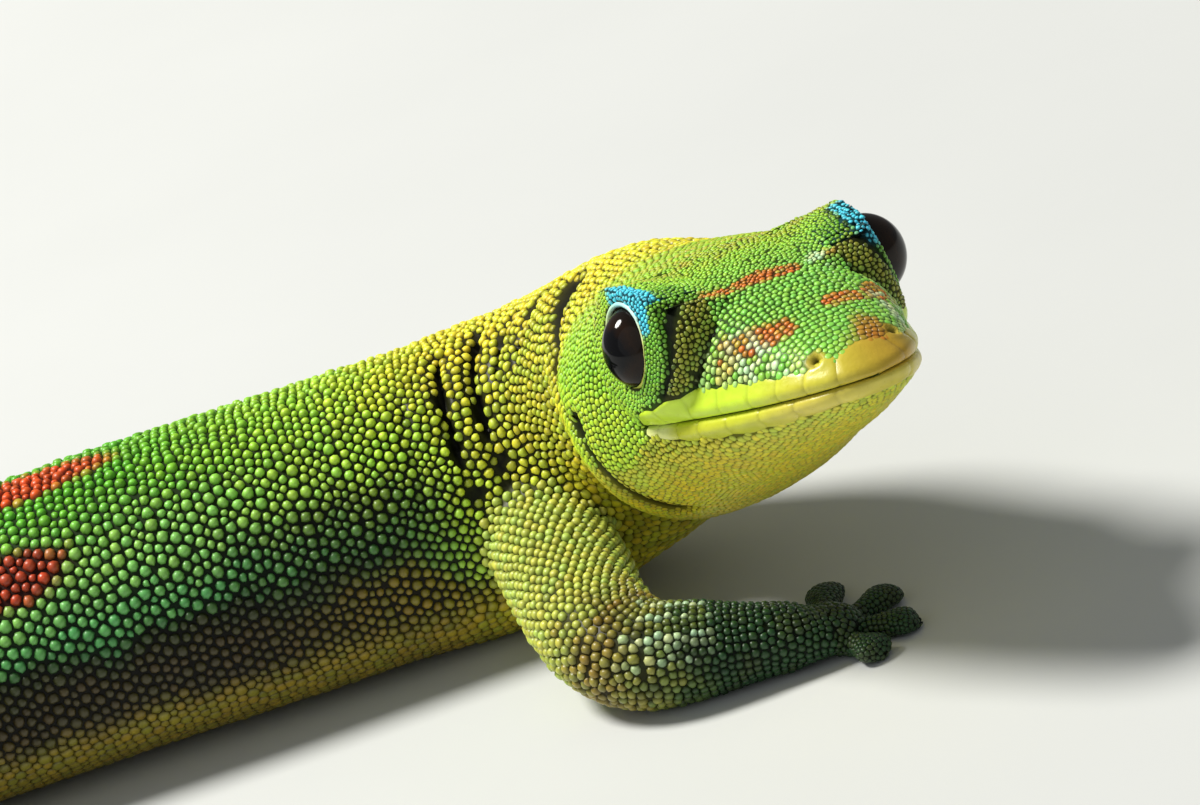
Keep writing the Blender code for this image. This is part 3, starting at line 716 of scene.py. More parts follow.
# %% Tracing points to their nets
BODY = -1
net_points = np.concatenate([net] + [points for points, *_ in limb_nets])
net_region = np.concatenate([np.full(len(net), BODY)] + [region for _, region, *_ in limb_nets])
net_place = np.concatenate([net_at] + [share for _, _, share, _ in limb_nets])
net_angle = np.concatenate([net_turn] + [turn for *_, turn in limb_nets])


def tree_of(points):
    tree = KDTree(len(points))
    for i, point in enumerate(points.tolist()):
        tree.insert(point, i)
    tree.balance()
    return tree


def nearest(tree, points):
    """For each point, the number of the nearest point in the tree and its distance."""
    found = [tree.find(point) for point in points.tolist()]
    return np.array([f[1] for f in found]), np.array([f[2] for f in found])


def points_of(mesh):
    flat = np.empty(len(mesh.vertices) * 3)
    mesh.vertices.foreach_get("co", flat)
    return flat.reshape(-1, 3) / MM


whole_tree = tree_of(net_points)
skin_points = points_of(skin.data)
skin_source, _ = nearest(whole_tree, skin_points)
skin_region = net_region[skin_source]
print("skin points by region:", {int(r): int((skin_region == r).sum()) for r in np.unique(skin_region)})

# %% Easing the corners at the legs
EASE_REACH = 1.3
EASE_TIMES = 30


def mesh_edges(mesh):
    flat = np.empty(len(mesh.edges) * 2, np.int64)
    mesh.edges.foreach_get("vertices", flat)
    return flat.reshape(-1, 2)


def relax(points, edges, weight, times):
    """Moves points towards the mean of their neighbours."""
    count = np.bincount(edges.ravel(), minlength=len(points))[:, None]
    for _ in range(times):
        total = np.zeros_like(points)
        for k in range(3):
            total[:, k] += np.bincount(edges[:, 0], points[edges[:, 1], k], len(points))
            total[:, k] += np.bincount(edges[:, 1], points[edges[:, 0], k], len(points))
        points = points + (total / count - points) * weight[:, None]
    return points


on_body = skin_region == BODY
body_tree = tree_of(net)
limb_tree = tree_of(net_points[net_region != BODY])
other_gap = np.empty(len(skin_points))
other_gap[on_body] = nearest(limb_tree, skin_points[on_body])[1]
other_gap[~on_body] = nearest(body_tree, skin_points[~on_body])[1]
ease = 0.6 * smoothstep(1.2 - other_gap / EASE_REACH)
hands = (skin_region != BODY) & (net_place[skin_source] > 0.93)
ease = np.maximum(ease, 0.25 * hands)
edges = mesh_edges(skin.data)
eased = relax(skin_points, edges, ease * (other_gap < EASE_REACH), EASE_TIMES)
skin_points = relax(eased, edges, 0.3 * hands, 3)
skin_points[:, 2] = np.maximum(skin_points[:, 2], FLOOR_COAT)
skin.data.vertices.foreach_set("co", (skin_points * MM).ravel())
skin.data.update()
print("points eased:", int((ease > 0.05).sum()))

# %% [markdown]
# Scales sit on the skin, so two questions come up again and again: where is the nearest spot of the
# skin, and which way does it face there. A search tree over the triangles answers both at once, and
# facings are blended between the corners so that neighbours tilt alike.

# %% Asking the skin
mesh = skin.data
mesh.calc_loop_triangles()
corners = np.empty(len(mesh.loop_triangles) * 3, np.int64)
mesh.loop_triangles.foreach_get("vertices", corners)
corners = corners.reshape(-1, 3)
sides = skin_points[corners]
face_cross = np.cross(sides[:, 1] - sides[:, 0], sides[:, 2] - sides[:, 0])
skin_facing = np.zeros_like(skin_points)
for k in range(3):
    np.add.at(skin_facing, corners[:, k], face_cross)
skin_facing = unit(relax(unit(skin_facing), edges, np.full(len(skin_points), 0.5), 3))
skin_tree = BVHTree.FromPolygons(skin_points.tolist(), corners.tolist())


def on_skin(points):
    """The nearest spots of the skin, the directions it faces there and the distances."""
    found = [skin_tree.find_nearest(point) for point in points.tolist()]
    spots = np.array([f[0] for f in found])
    faces = np.array([f[2] for f in found])
    gaps = np.array([f[3] for f in found])
    a, b, c = (skin_points[corners[faces, k]] for k in range(3))
    shares = np.stack([np.linalg.norm(np.cross(b - spots, c - spots), axis=1),
                       np.linalg.norm(np.cross(c - spots, a - spots), axis=1),
                       np.linalg.norm(np.cross(a - spots, b - spots), axis=1)], axis=1)
    shares = shares / np.maximum(shares.sum(1, keepdims=True), 1e-12)
    facing = sum(skin_facing[corners[faces, k]] * shares[:, k, None] for k in range(3))
    return spots, unit(facing), gaps


print("triangles of the skin:", len(corners))

# %% [markdown]
# A day gecko has no large plates on its back but thousands of small beads. They are finest round the
# eyes and on the toes, about a quarter of a millimetre on the snout, and half a millimetre on the
# flank. One function of the place gives the distance between neighbours everywhere.

# %% How far apart the scales lie
BODY_PITCH = Through(
    [0.0, 3.0, 6.0, 9.0, 12.0, 15.0, 18.0, 22.0, 26.0, 31.0, 40.0, 60.0, 80.0, 95.0, 108.0, 118.0, 127.0],
    [0.23, 0.27, 0.28, 0.23, 0.24, 0.32, 0.36, 0.37, 0.37, 0.41, 0.46, 0.49, 0.48, 0.44, 0.35, 0.25, 0.16],
)
LIMB_PITCH = Through([0.0, 0.5, 0.85, 1.0, 1.4, 2.0], [0.37, 0.33, 0.28, 0.24, 0.21, 0.18])
EYE_PITCH = 0.158


def from_back(angle):
    """Degrees from the middle of the back, 0 there and 180 under the belly."""
    return np.abs((np.degrees(angle) + 90.0) % 360.0 - 180.0)


def scale_pitch(region, place, angle):
    around = from_back(angle)
    crown = 1 - 0.14 * (1 - smoothstep((around - 25.0) / 35.0)) * (1 - smoothstep((place - 9.0) / 5.0))
    ridge = 1 - 0.16 * (1 - smoothstep((around - 10.0) / 40.0)) * smoothstep((place - 26.0) / 8.0)
    throat = 1 - 0.12 * smoothstep((around - 110.0) / 40.0) * (1 - smoothstep((place - 12.0) / 6.0))
    belly = 1 - 0.14 * smoothstep((around - 70.0) / 20.0) * smoothstep((place - 26.0) / 6.0)
    on_trunk = BODY_PITCH(np.clip(place, 0, TAIL_TIP)) * crown * ridge * throat * belly
    return np.where(region == BODY, on_trunk, LIMB_PITCH(np.clip(place, 0.0, 2.0)))


def from_eyes(points, region, place):
    """How far points of the head lie from the middle of the nearer eye's opening, in mm."""
    away = np.full(len(points), 99.0)
    local = to_head(points)
    for side in (1, -1):
        here = (region == BODY) & (place < HEAD_RIGID_TO) & (local[:, 1] * side > 0)
        away[here] = opening_size(local[here], side)[3]
    return away


def pitch_of(points, region, place, angle):
    """The distance between neighbours at points of the skin, finest round the eyes."""
    wide = scale_pitch(region, place, angle)
    return EYE_PITCH + (wide - EYE_PITCH) * smoothstep((from_eyes(points, region, place) - 2.5) / 0.8)


def height_over_mouth(place, angle):
    """Height above the mouth's level on the head, in mm."""
    s = np.sin(angle)
    square = np.where(s > 0, SIZE["upper"](place), SIZE["lower"](place))
    waist = SIZE["waist"](place)
    reach = np.where(s > 0, SIZE["top"](place) - waist, waist - SIZE["bottom"](place))
    return reach * signed_power(s, square)


# %% [markdown]
# Real scales lie in rows that cross the body, each row shifted by half a scale against the last, like
# bricks. Rows are laid the same way: walk along the body one row at a time and share out the ring by
# the local size. Round each eye the rows follow the opening instead.

# %% Rows of scale roots
ROW_STEP = math.sqrt(3) / 2
Roots = namedtuple("Roots", "points region place angle")


def lay_rows(surface, region, start, end, length):
    """Roots in rows over a surface whose first number runs from start to end over a length in mm."""
    found = []
    dense = np.linspace(0, 2 * math.pi, 241)
    place = start
    row = 0
    while place < end:
        ring = surface(np.full(241, place), dense)
        pitch = scale_pitch(region, np.full(240, place), (dense[1:] + dense[:-1]) / 2)
        share = np.linalg.norm(np.diff(ring, axis=0), axis=1) / pitch
        count = np.concatenate([[0.0], np.cumsum(share)])
        number = max(3, round(count[-1]))
        marks = (np.arange(number) + 0.5 * (row % 2)) * count[-1] / number
        angle = np.interp(marks, count, dense)
        at = np.full(number, place)
        found.append((surface(at, angle), np.full(number, region), at, angle))
        place += ROW_STEP * float(np.median(pitch)) * (end - start) / length
        row += 1
    return Roots(*(np.concatenate(parts) for parts in zip(*found)))


def lay_eye_rings(side):
    """Roots in rings round one eye's opening."""
    ahead, up, out = eye_axes(side)
    found = []
    for ring in range(EYE_RINGS):
        pitch = EYE_PITCH * (1 + 0.03 * ring)
        offset = EYE_FIRST_RING + ring * EYE_PITCH * ROW_STEP
        turn = np.linspace(0, 2 * math.pi, 400)
        x = (OPENING_HALF_WIDTH[side] * narrowing(np.sin(turn)) + offset) * np.cos(turn)
        y = (OPENING_HALF_HEIGHT[side] + offset) * np.sin(turn)
        along = np.concatenate([[0], np.cumsum(np.hypot(np.diff(x), np.diff(y)))])
        number = round(along[-1] / pitch)
        marks = (np.arange(number) + 0.5 * (ring % 2)) * along[-1] / number
        x, y = np.interp(marks, along, x), np.interp(marks, along, y)
        x, y = leaned(x, y, -OPENING_LEAN)
        x, y = x + OPENING_OFFSET[0], y + OPENING_OFFSET[1]
        level = ORBIT_HEIGHT[side] * np.sqrt(np.clip(1 - (x * x + y * y) / ORBIT_RADIUS**2, 0, 1))
        local = on_side(GLOBE_CENTRE, side) + np.outer(x, ahead) + np.outer(y, up) + np.outer(level, out)
        found.append(from_head(local))
    points = np.concatenate(found)
    blank = np.zeros(len(points))
    return Roots(points, np.full(len(points), BODY), blank, blank)


EYE_RINGS = 7
EYE_FIRST_RING = 0.20
rows = [lay_eye_rings(1), lay_eye_rings(-1)]
eye_roots = sum(len(part.points) for part in rows)
rows.append(lay_rows(body_point, BODY, 0.12, TAIL_TIP - 0.3, TAIL_TIP))
for leg_number, leg in enumerate(LEGS):
    line = lines[leg.name]
    rows.append(lay_rows(line.surface, leg_number, 0.0, 1.0, line.length))
    for start, heading, length in toes_of(leg, line):

        def on_toe(place, angle, start=start, heading=heading, length=length):
            return toe_surface(start, heading, length, place - 1.0, angle)

        rows.append(lay_rows(on_toe, leg_number, 1.0, 2.0, length))
roots = np.concatenate([part.points for part in rows])
print("roots laid in rows:", len(roots))

# %% [markdown]
# Rows crowd on the inside of a bend and gape on the outside, and some end inside a leg. So the roots
# are dropped onto the skin, what is hidden or too close to a neighbour goes, and bare spots are filled
# with new ones. Then neighbours push each other apart for a few rounds, which evens out the gaps
# without losing the rows.

# %% Thinning, filling and settling
HIDDEN_GAP = 0.5
CLOSEST = 0.66
BARE = 0.78
CANDIDATES = 200000
SETTLE_TIMES = 9
SETTLE_PUSH = 0.32
NEIGHBOURS = 8
EYE_ZONE = 1.95
UNEVEN = Through([0.0, 8.0, 14.0, 20.0, 26.0, 34.0, 60.0, 127.0],
                 [0.17, 0.12, 0.10, 0.12, 0.18, 0.19, 0.12, 0.06])
chance = np.random.default_rng(7)


def traced(points):
    """Region, place and angle of points on the skin."""
    source, _ = nearest(whole_tree, points)
    return net_region[source], net_place[source], net_angle[source]


def thinned(points, pitch, share):
    """Which points stay when each one clears its surroundings of later ones."""
    tree = tree_of(points)
    stays = np.ones(len(points), bool)
    for i, (point, reach) in enumerate(zip(points.tolist(), (pitch * share).tolist())):
        if stays[i]:
            for _, j, _ in tree.find_range(point, reach):
                if j > i:
                    stays[j] = False
    return stays


def neighbours(points):
    """The nearest other points of each point, and how far away they are."""
    tree = tree_of(points)
    found = [tree.find_n(point, NEIGHBOURS + 1)[1:] for point in points.tolist()]
    number = np.array([[f[1] for f in near] for near in found])
    gap = np.array([[f[2] for f in near] for near in found])
    return number, gap


roots, facing, gaps = on_skin(roots)
eye_row = np.arange(len(roots)) < eye_roots
open_air = gaps < HIDDEN_GAP
roots, eye_row = roots[open_air], eye_row[open_air]
region, place, angle = traced(roots)
kept = eye_row | (from_eyes(roots, region, place) > EYE_ZONE)
roots, region, place, angle = roots[kept], region[kept], place[kept], angle[kept]
pitch = pitch_of(roots, region, place, angle)
roots = roots[thinned(roots, pitch, CLOSEST)]

skin_pitch = pitch_of(skin_points, *traced(skin_points))
chances = np.linalg.norm(face_cross, axis=1) / skin_pitch[corners].mean(1) ** 2
chosen = np.searchsorted(np.cumsum(chances) / chances.sum(), chance.random(CANDIDATES))
spread = chance.random((CANDIDATES, 2))
folded = spread.sum(1) > 1
spread[folded] = 1 - spread[folded]
a, b, c = (skin_points[corners[chosen, k]] for k in range(3))
candidates = a + (b - a) * spread[:, :1] + (c - a) * spread[:, 1:]
wanted = pitch_of(candidates, *traced(candidates))
bare = nearest(tree_of(roots), candidates)[1] > BARE * wanted
candidates, wanted = candidates[bare], wanted[bare]
fresh = candidates[thinned(candidates, wanted, BARE)]
print("roots kept:", len(roots), "bare spots filled:", len(fresh))
roots = np.concatenate([roots, fresh])

region, place, angle = traced(roots)
pitch = pitch_of(roots, region, place, angle)
uneven = np.where(region == BODY, UNEVEN(np.clip(place, 0, TAIL_TIP)), 0.09)
pitch = pitch * (1 + uneven * np.clip(chance.normal(size=len(pitch)), -1.8, 1.8))
roots = roots + 0.16 * pitch[:, None] * chance.normal(size=roots.shape)
for _ in range(SETTLE_TIMES):
    near, gap = neighbours(roots)
    want = (pitch[:, None] + pitch[near]) / 2
    push = np.clip(want - gap, 0.0, None)
    away = (roots[:, None] - roots[near]) / np.maximum(gap, 1e-6)[..., None]
    roots = roots + SETTLE_PUSH * (away * push[..., None]).sum(1)
    roots, facing, _ = on_skin(roots)
print("mean distance over wanted distance:", round(float((gap[:, 0] / pitch).mean()), 3))

# %% [markdown]
# The markings are painted by rule on skin and scales alike. A mark is a soft patch given by where it
# lies along the body, how far from the middle of the back, and how big it is. The colours are given
# as a screen shows them: golden neck, lime head, green back, rust red marks and blue lids. Some of them
# are painted light: highlights on the snout and the forearm, and shade on the hands, behind the
# shoulder and partly in the dark band low on the flank.

# %% Colours of the animal
def paint(red, green, blue):
    """A colour as seen on a screen, turned into amounts of light."""
    seen = np.array([red, green, blue]) / 255.0
    return np.where(seen <= 0.04045, seen / 12.92, ((seen + 0.055) / 1.055) ** 2.4)


LIME = paint(164, 216, 48)
BRIGHT_LIME = paint(208, 240, 58)
CROWN_GOLD = paint(186, 190, 56)
SNOUT_GREEN = paint(142, 214, 78)
# Pale scales with painted highlights.
SNOUT_PALE_AND_PAINTED_HIGHLIGHT = paint(202, 236, 132)
GOLD = paint(240, 230, 56)
NECK_SIDE = paint(204, 208, 54)
THROAT = paint(208, 198, 42)
BACK_YELLOW_GREEN = paint(176, 222, 60)
BACK_GREEN = paint(104, 186, 40)
FLANK_GREEN = paint(138, 198, 90)
FLANK_TEAL = paint(66, 150, 84)
# A dark tone for the stripe low on the flank and the mottles of the hind legs, also used as painted shade.
DARK_TONE_AND_PAINTED_SHADE = paint(38, 30, 8)
BELLY = paint(136, 122, 28)
ARM = paint(188, 200, 84)
# The hands' green darkened by painted shade.
HAND_WITH_PAINTED_SHADE = paint(32, 68, 30)
LIMB_BROWN = paint(124, 88, 32)
HIND_LEG = paint(112, 146, 62)
FOOT = paint(84, 96, 62)
TAIL_GREEN = paint(84, 176, 74)
TAIL_BLUE = paint(52, 158, 128)
RUST = paint(216, 84, 22)
DARK_RUST = paint(178, 68, 34)
ORANGE = paint(212, 118, 36)
ROSTRAL_BROWN = paint(178, 140, 38)
SNOUT_BROWN = paint(190, 112, 30)
NOSTRIL_GOLD = paint(208, 176, 62)
SKY_BLUE = paint(84, 222, 248)
LID_GREEN = paint(112, 178, 34)
OLIVE = paint(150, 158, 50)
CREAM = paint(232, 244, 150)
# A painted highlight, for glints on the snout and the forearm.
PAINTED_GLINT = paint(216, 242, 190)


def blend(colour, other, share):
    return colour + (np.asarray(other) - colour) * np.clip(share, 0.0, 1.0)[:, None]


def ramp(place, keys, colours):
    """A colour that changes from one key to the next along the body."""
    stack = np.array(colours)
    return np.stack([np.interp(place, keys, stack[:, k]) for k in range(3)], axis=1)


def oval(along, across, middle, size, soft=0.25):
    """1 inside an oval patch, 0 outside, with a soft edge."""
    gap = np.hypot((along - middle[0]) / size[0], (across - middle[1]) / size[1])
    return 1 - smoothstep((gap - 1 + soft) / (2 * soft))


def bar(points, start, end, width, soft=0.3):
    """1 near the line between two points of the head seen from above."""
    a, b = np.array(start[:2]), np.array(end[:2])
    share = np.clip(((points[:, :2] - a) @ (b - a)) / ((b - a) @ (b - a)), 0, 1)
    gap = np.linalg.norm(points[:, :2] - (a + share[:, None] * (b - a)), axis=1) / width
    return (1 - smoothstep((gap - 1 + soft) / (2 * soft))) * (points[:, 2] > -1.9)


def waver(points, size, seed):
    """A smooth uneven value around 0 over the body, the same for skin and scales."""
    total = 0.0
    for k in range(3):
        wave = np.array([[1.0, 0.6, -0.4], [-0.5, 1.0, 0.7], [0.6, -0.3, 1.0]])[k]
        total = total + np.sin(points @ (wave * (2 * math.pi / size)) + seed * (k + 1.7))
        total = total + 0.5 * np.sin(points @ (wave[::-1] * (4.6 * math.pi / size)) + seed * (k + 0.3))
    return total / 4.5


def trunk_colour(place, angle, points):
    around = from_back(angle)
    frayed = around + 5.0 * waver(points, 3.1, 1.0)
    top = ramp(place, [16, 25, 31, 38, 46, 62, 80, 100, 127],
               [GOLD, GOLD, BACK_YELLOW_GREEN, BACK_GREEN, BACK_GREEN,
                TAIL_GREEN, TAIL_BLUE, TAIL_GREEN, TAIL_BLUE])
    side = ramp(place, [16, 23, 29, 36, 46, 62, 80, 127],
                [NECK_SIDE, NECK_SIDE, BACK_YELLOW_GREEN, FLANK_GREEN, FLANK_GREEN,
                 FLANK_TEAL, TAIL_BLUE, FLANK_TEAL])
    low = ramp(place, [16, 24, 27, 44, 127], [THROAT, THROAT, BELLY, BELLY, BELLY])
    colour = blend(top, side, smoothstep((frayed - 18.0) / 30.0))
    behind_arm = smoothstep((place - 26.0) / 4.0)
    colour = blend(colour, FLANK_TEAL, 0.8 * behind_arm * smoothstep((frayed - 50.0) / 22.0))
    # The dark band low on the flank behind the arm is partly the animal's own dark stripe and partly painted
    # shade.
    edge = 76.0 + 26.0 * (1 - behind_arm)
    band = behind_arm * smoothstep((frayed - edge + 4.0) / 8.0) * smoothstep((place - 26.0) / 10.0)
    colour = blend(colour, low, smoothstep((frayed - edge) / 14.0))
    fade = 1 - 0.75 * smoothstep((place - 62.0) / 30.0)
    colour = blend(colour, DARK_TONE_AND_PAINTED_SHADE, 0.9 * band * (1 - smoothstep((frayed - edge - 22.0) / 20.0)) * fade)
    colour = blend(colour, THROAT, (1 - behind_arm) * smoothstep((frayed - 96.0) / 30.0))
    # Painted shade low on the flank just behind the shoulder.
    shade = behind_arm * (1 - smoothstep((place - 32.0) / 6.0)) * smoothstep((frayed - 46.0) / 14.0)
    colour = blend(colour, DARK_TONE_AND_PAINTED_SHADE, 0.6 * shade * (1 - smoothstep((frayed - 78.0) / 12.0)))
    return with_red_marks(colour, place, angle, points)


# Red marks: station, degrees from the middle of the back, half length and half width in mm.
RED_MARKS = [(42.3, 0.0, 4.2, 1.2), (42.2, 45.0, 2.2, 1.1), (51.0, 22.0, 1.5, 0.7), (54.5, 52.0, 1.0, 0.6),
             (56.5, 0.0, 1.9, 0.6), (61.5, 26.0, 0.9, 0.55), (66.0, 0.0, 1.0, 0.8), (72.0, 20.0, 0.9, 0.5)]
RED_RINGS = [78.0, 85.0, 92.0, 99.0, 106.0, 112.0, 117.5, 122.0]


def with_red_marks(colour, place, angle, points):
    around = from_back(angle)
    wide = SIZE["half_width"](np.clip(place, 0, TAIL_TIP)) * 1.1
    across = np.radians(around) * wide
    frayed = place + 0.3 * waver(points, 1.6, 2.0)
    for station, degrees, half_length, half_width in RED_MARKS:
        middle = math.radians(degrees) * float(SIZE["half_width"](station)) * 1.1
        mark = oval(frayed, across, (station, middle), (half_length, half_width), 0.16)
        tone = RUST if degrees < 30.0 else DARK_RUST
        colour = blend(colour, tone, mark)
    for station in RED_RINGS:
        ring = np.exp(-(((place - station + 0.5 * waver(points, 2.2, 3.0)) / 0.8) ** 2))
        colour = blend(colour, DARK_RUST, 0.75 * ring * (1 - smoothstep((around - 40.0) / 30.0)))
    return colour


# Orange marks of the head seen from above: start, end, half width and strength. Then spots of
# painted highlight: middle and size.
HEAD_MARKS = [((1.6, -2.05), (1.7, -0.7), 0.30, 0.75), ((1.7, -0.7), (2.0, 0.6), 0.40, 1.0),
              ((4.95, -1.3), (4.3, -2.05), 0.40, 1.0), ((4.1, -2.2), (3.3, -2.8), 0.34, 0.55),
              ((4.7, 0.5), (4.7, 1.3), 0.36, 0.85), ((1.9, 2.2), (1.6, 3.0), 0.3, 0.5),
              ((3.5, 2.6), (4.4, 2.0), 0.34, 0.7)]
PAINTED_GLINTS = [((1.8, 1.75), (0.45, 0.4)), ((1.45, 2.15), (0.3, 0.3)),
          ((4.9, -2.35), (1.7, 0.42)), ((5.3, 2.3), (1.4, 0.4))]


def head_colour(place, angle, points):
    local = to_head(points)
    x, y, z = local.T
    low = height_over_mouth(np.clip(place, 0.05, 16.0), angle)
    colour = ramp(place, [0, 3.5, 6.0, 9.0, 16.0], [SNOUT_GREEN, SNOUT_GREEN, SNOUT_GREEN, LIME, LIME])
    speck = waver(points, 0.9, 4.0)
    flank = smoothstep((from_back(angle) - 30.0) / 30.0)
    # Scattered pale scales with painted highlights on the sides of the snout.
    colour = blend(colour, SNOUT_PALE_AND_PAINTED_HIGHLIGHT, 0.8 * flank * (1 - smoothstep((place - 5.0) / 2.0)) * (speck > -0.1))
    colour = blend(colour, CROWN_GOLD, smoothstep((place - 8.0) / 2.0) * (1 - flank) * (0.5 + speck))
    colour = blend(colour, BRIGHT_LIME, 0.8 * smoothstep((-z - 1.6) / 1.2) * smoothstep((place - 8.0) / 3.0))
    colour = blend(colour, GOLD, smoothstep((place - 13.5) / 2.5))
    start = 0.1 + 1.3 * smoothstep((place - 8.2) / 2.5)
    colour = blend(colour, NECK_SIDE, smoothstep((-low - start) / 0.3))
    colour = blend(colour, THROAT, smoothstep((-low - start - 0.6) / 1.2))
    frayed = local + 0.12 * np.stack([waver(points, 0.7, 5.0), waver(points, 0.8, 6.0), 0 * x], axis=1)
    for start, end, width, strength in HEAD_MARKS:
        mottle = np.clip(strength + 0.7 * waver(points, 0.6, 9.0), 0.0, 1.0)
        colour = blend(colour, ORANGE, mottle * bar(frayed, start, end, width))
    # Spots of painted highlight on the snout.
    for middle, size in PAINTED_GLINTS:
        colour = blend(colour, PAINTED_GLINT, 0.8 * oval(x, y, middle, size, 0.5) * (speck > -0.05) * (z > -1.5))
    colour = blend(colour, ROSTRAL_BROWN, 0.7 * oval(x, y, (7.4, 0.6), (0.9, 1.0), 0.45) * (z > -1.9))
    tip = oval(frayed[:, 0], frayed[:, 1], (6.75, 0.8), (0.95, 0.5), 0.4)
    colour = blend(colour, SNOUT_BROWN, 0.8 * tip * (z > -1.6))
    for side in (1, -1):
        nostril = np.linalg.norm(local - on_side(NOSTRIL, side), axis=1)
        colour = blend(colour, NOSTRIL_GOLD, 0.8 * (1 - smoothstep((nostril - 0.30) / 0.15)))
        colour = lid_colour(colour, local, side)
    return colour


# How far the blue of the lids goes down the eye's axis, and how far out it goes at its front end.
BLUE_LOWEST = {1: 0.34, -1: 0.14}
BLUE_REACH = {1: 1.95, -1: 1.5}


def lid_colour(colour, local, side):
    """The rings of colour round one eye."""
    size, turn, _, _ = opening_size(local, side)
    degrees, height, away = ring_place(local, side)
    outside = (height > -1.2) & (local[:, 1] * side > 0)
    ring = (1 - smoothstep((away - 2.0) / 0.1)) * outside
    front = smoothstep((np.cos(turn) - 0.2) / 0.3)
    colour = blend(colour, LID_GREEN, 0.8 * ring * front)
    olive = np.exp(-(((away - 2.33) / 0.19) ** 4)) * outside * front
    colour = blend(colour, OLIVE, olive)
    crescent = smoothstep((degrees - 6.0) / 8.0) * (1 - smoothstep((degrees - 102.0) / 12.0))
    outer = smoothstep((height + BLUE_LOWEST[side]) / 0.10)
    reach = BLUE_REACH[side] + (2.0 - BLUE_REACH[side]) * smoothstep((degrees - 12.0) / 40.0)
    colour = blend(colour, SKY_BLUE, crescent * outer * (1 - smoothstep((away - reach) / 0.06)) * outside)
    # A dark line of painted shade at the foot of the blue on the left eye.
    under_edge = (height + BLUE_LOWEST[side] + 0.06) / 0.07
    ridge = np.exp(-(under_edge ** 2)) * smoothstep((degrees - 30.0) / 14.0) * crescent
    ridge = ridge * (away < 2.2) * (side > 0)
    rim = (1 - smoothstep((size - 1.08) / 0.05)) * outside
    colour = blend(colour, CREAM, rim) * (1 - 0.85 * ridge)[:, None]
    # The creases in front of the eye are painted dark: painted shade.
    return colour * (1 - 0.9 * smoothstep((crease_depth(local, side) - 0.04) / 0.08))[:, None]


def limb_colour(region, place, angle, points):
    hind = region >= 2
    upper = np.where(hind[:, None], HIND_LEG, ARM)
    # The fore hands are painted dark: their green with painted shade.
    lower = np.where(hind[:, None], FOOT, HAND_WITH_PAINTED_SHADE)
    mottle = waver(points, 1.7, 7.0)
    start, length = np.where(hind, 0.48, 0.57), np.where(hind, 0.40, 0.22)
    colour = upper + (lower - upper) * smoothstep((place - start + 0.08 * mottle) / length)[:, None]
    spots = 0.5 * smoothstep((mottle - 0.1) / 0.3) * smoothstep((place - 0.35) / 0.2)
    spots = spots * np.where(hind, 1.0, 1 - 0.85 * smoothstep((place - 0.6) / 0.12))
    elbow = 0.75 * np.exp(-(((place - 0.62 + 0.04 * mottle) / 0.06) ** 2)) * ~hind
    colour = blend(colour, LIMB_BROWN, np.maximum(spots, elbow))
    # Pale stripes on top of the forearm are painted highlights along its rows of scales.
    stripes = smoothstep((np.cos(angle * 13.0) - 0.1) / 0.5) * smoothstep((np.sin(angle) - 0.1) / 0.4)
    stripes = stripes * smoothstep((place - 0.64) / 0.04) * (1 - smoothstep((place - 0.76) / 0.06)) * ~hind
    colour = blend(colour, PAINTED_GLINT, 0.6 * stripes)
    return blend(colour, DARK_TONE_AND_PAINTED_SHADE, hind * 0.5 * smoothstep((mottle - 0.25) / 0.2))


def marking_and_painted_light(region, place, angle, points):
    """The animal's colour at points of its skin, with painted highlights and painted shade in it."""
    colour = np.zeros((len(points), 3))
    head = (region == BODY) & (place < 16.0)
    trunk = (region == BODY) & ~head
    limb = region != BODY
    colour[head] = head_colour(place[head], angle[head], points[head])
    colour[trunk] = trunk_colour(place[trunk], angle[trunk], points[trunk])
    colour[limb] = limb_colour(region[limb], place[limb], angle[limb], points[limb])
    return colour


print("colours of the animal are functions of place")

# %% [markdown]
# How a scale looks also changes with place: high round beads with black gaps on the shoulder, blocky
# ones on the neck, low ones that nearly touch on the head, and flat overlapping ones on the belly. The
# gaps are darker skin and painted shade.

# %% Character of the scales
Look = namedtuple("Look", "cover rise round tilt gap_dark")
LOOK_KEYS = [0.0, 2.0, 4.0, 6.0, 12.0, 15.0, 18.0, 23.0, 27.0, 33.0, 42.0, 62.0, 127.0]
COVER = Through(LOOK_KEYS, [1.05, 1.02, 0.94, 0.94, 0.96, 0.93, 0.89, 0.88, 0.87, 0.87, 0.90, 1.00, 1.05])
RISE = Through(LOOK_KEYS, [0.12, 0.18, 0.28, 0.30, 0.22, 0.25, 0.29, 0.31, 0.38, 0.40, 0.36, 0.26, 0.18])
ROUND = Through(LOOK_KEYS, [0.2, 0.15, 0.15, 0.1, 0.05, 0.05, 0.0, 0.0, 0.2, 0.3, 0.3, 0.2, 0.2])
# How light the skin in the gaps is kept: darker skin and painted shade.
GAP_TONE_AND_SHADE = Through(LOOK_KEYS, [0.50, 0.34, 0.12, 0.10, 0.10, 0.07, 0.04, 0.03, 0.03, 0.04, 0.06, 0.18, 0.28])


def look_at(region, place, angle):
    around = from_back(angle)
    body = region == BODY
    at = np.clip(place, 0, TAIL_TIP)
    under = smoothstep((around - 98.0) / 25.0) * body
    low = smoothstep((around - 68.0) / 20.0) * body * smoothstep((at - 26.0) / 6.0)
    limb_at = np.clip(place, 0, 2)
    cover = np.where(body, COVER(at), 0.97 + 0.05 * smoothstep(limb_at - 0.6))
    rise = np.where(body, RISE(at), 0.42 - 0.20 * smoothstep(limb_at - 0.5))
    smooth = np.where(body, ROUND(at), 0.3)
    light = np.where(body, GAP_TONE_AND_SHADE(at), 0.10)
    cover = cover + (1.06 - cover) * under
    rise = rise + (0.24 - rise) * low
    rise = rise + (0.15 - rise) * under
    light = light + (0.32 - light) * under
    tilt = 0.10 * under + 0.06 * body * smoothstep((at - 60.0) / 20.0) + 0.05 * (~body)
    return Look(cover, rise, smooth, tilt, light)


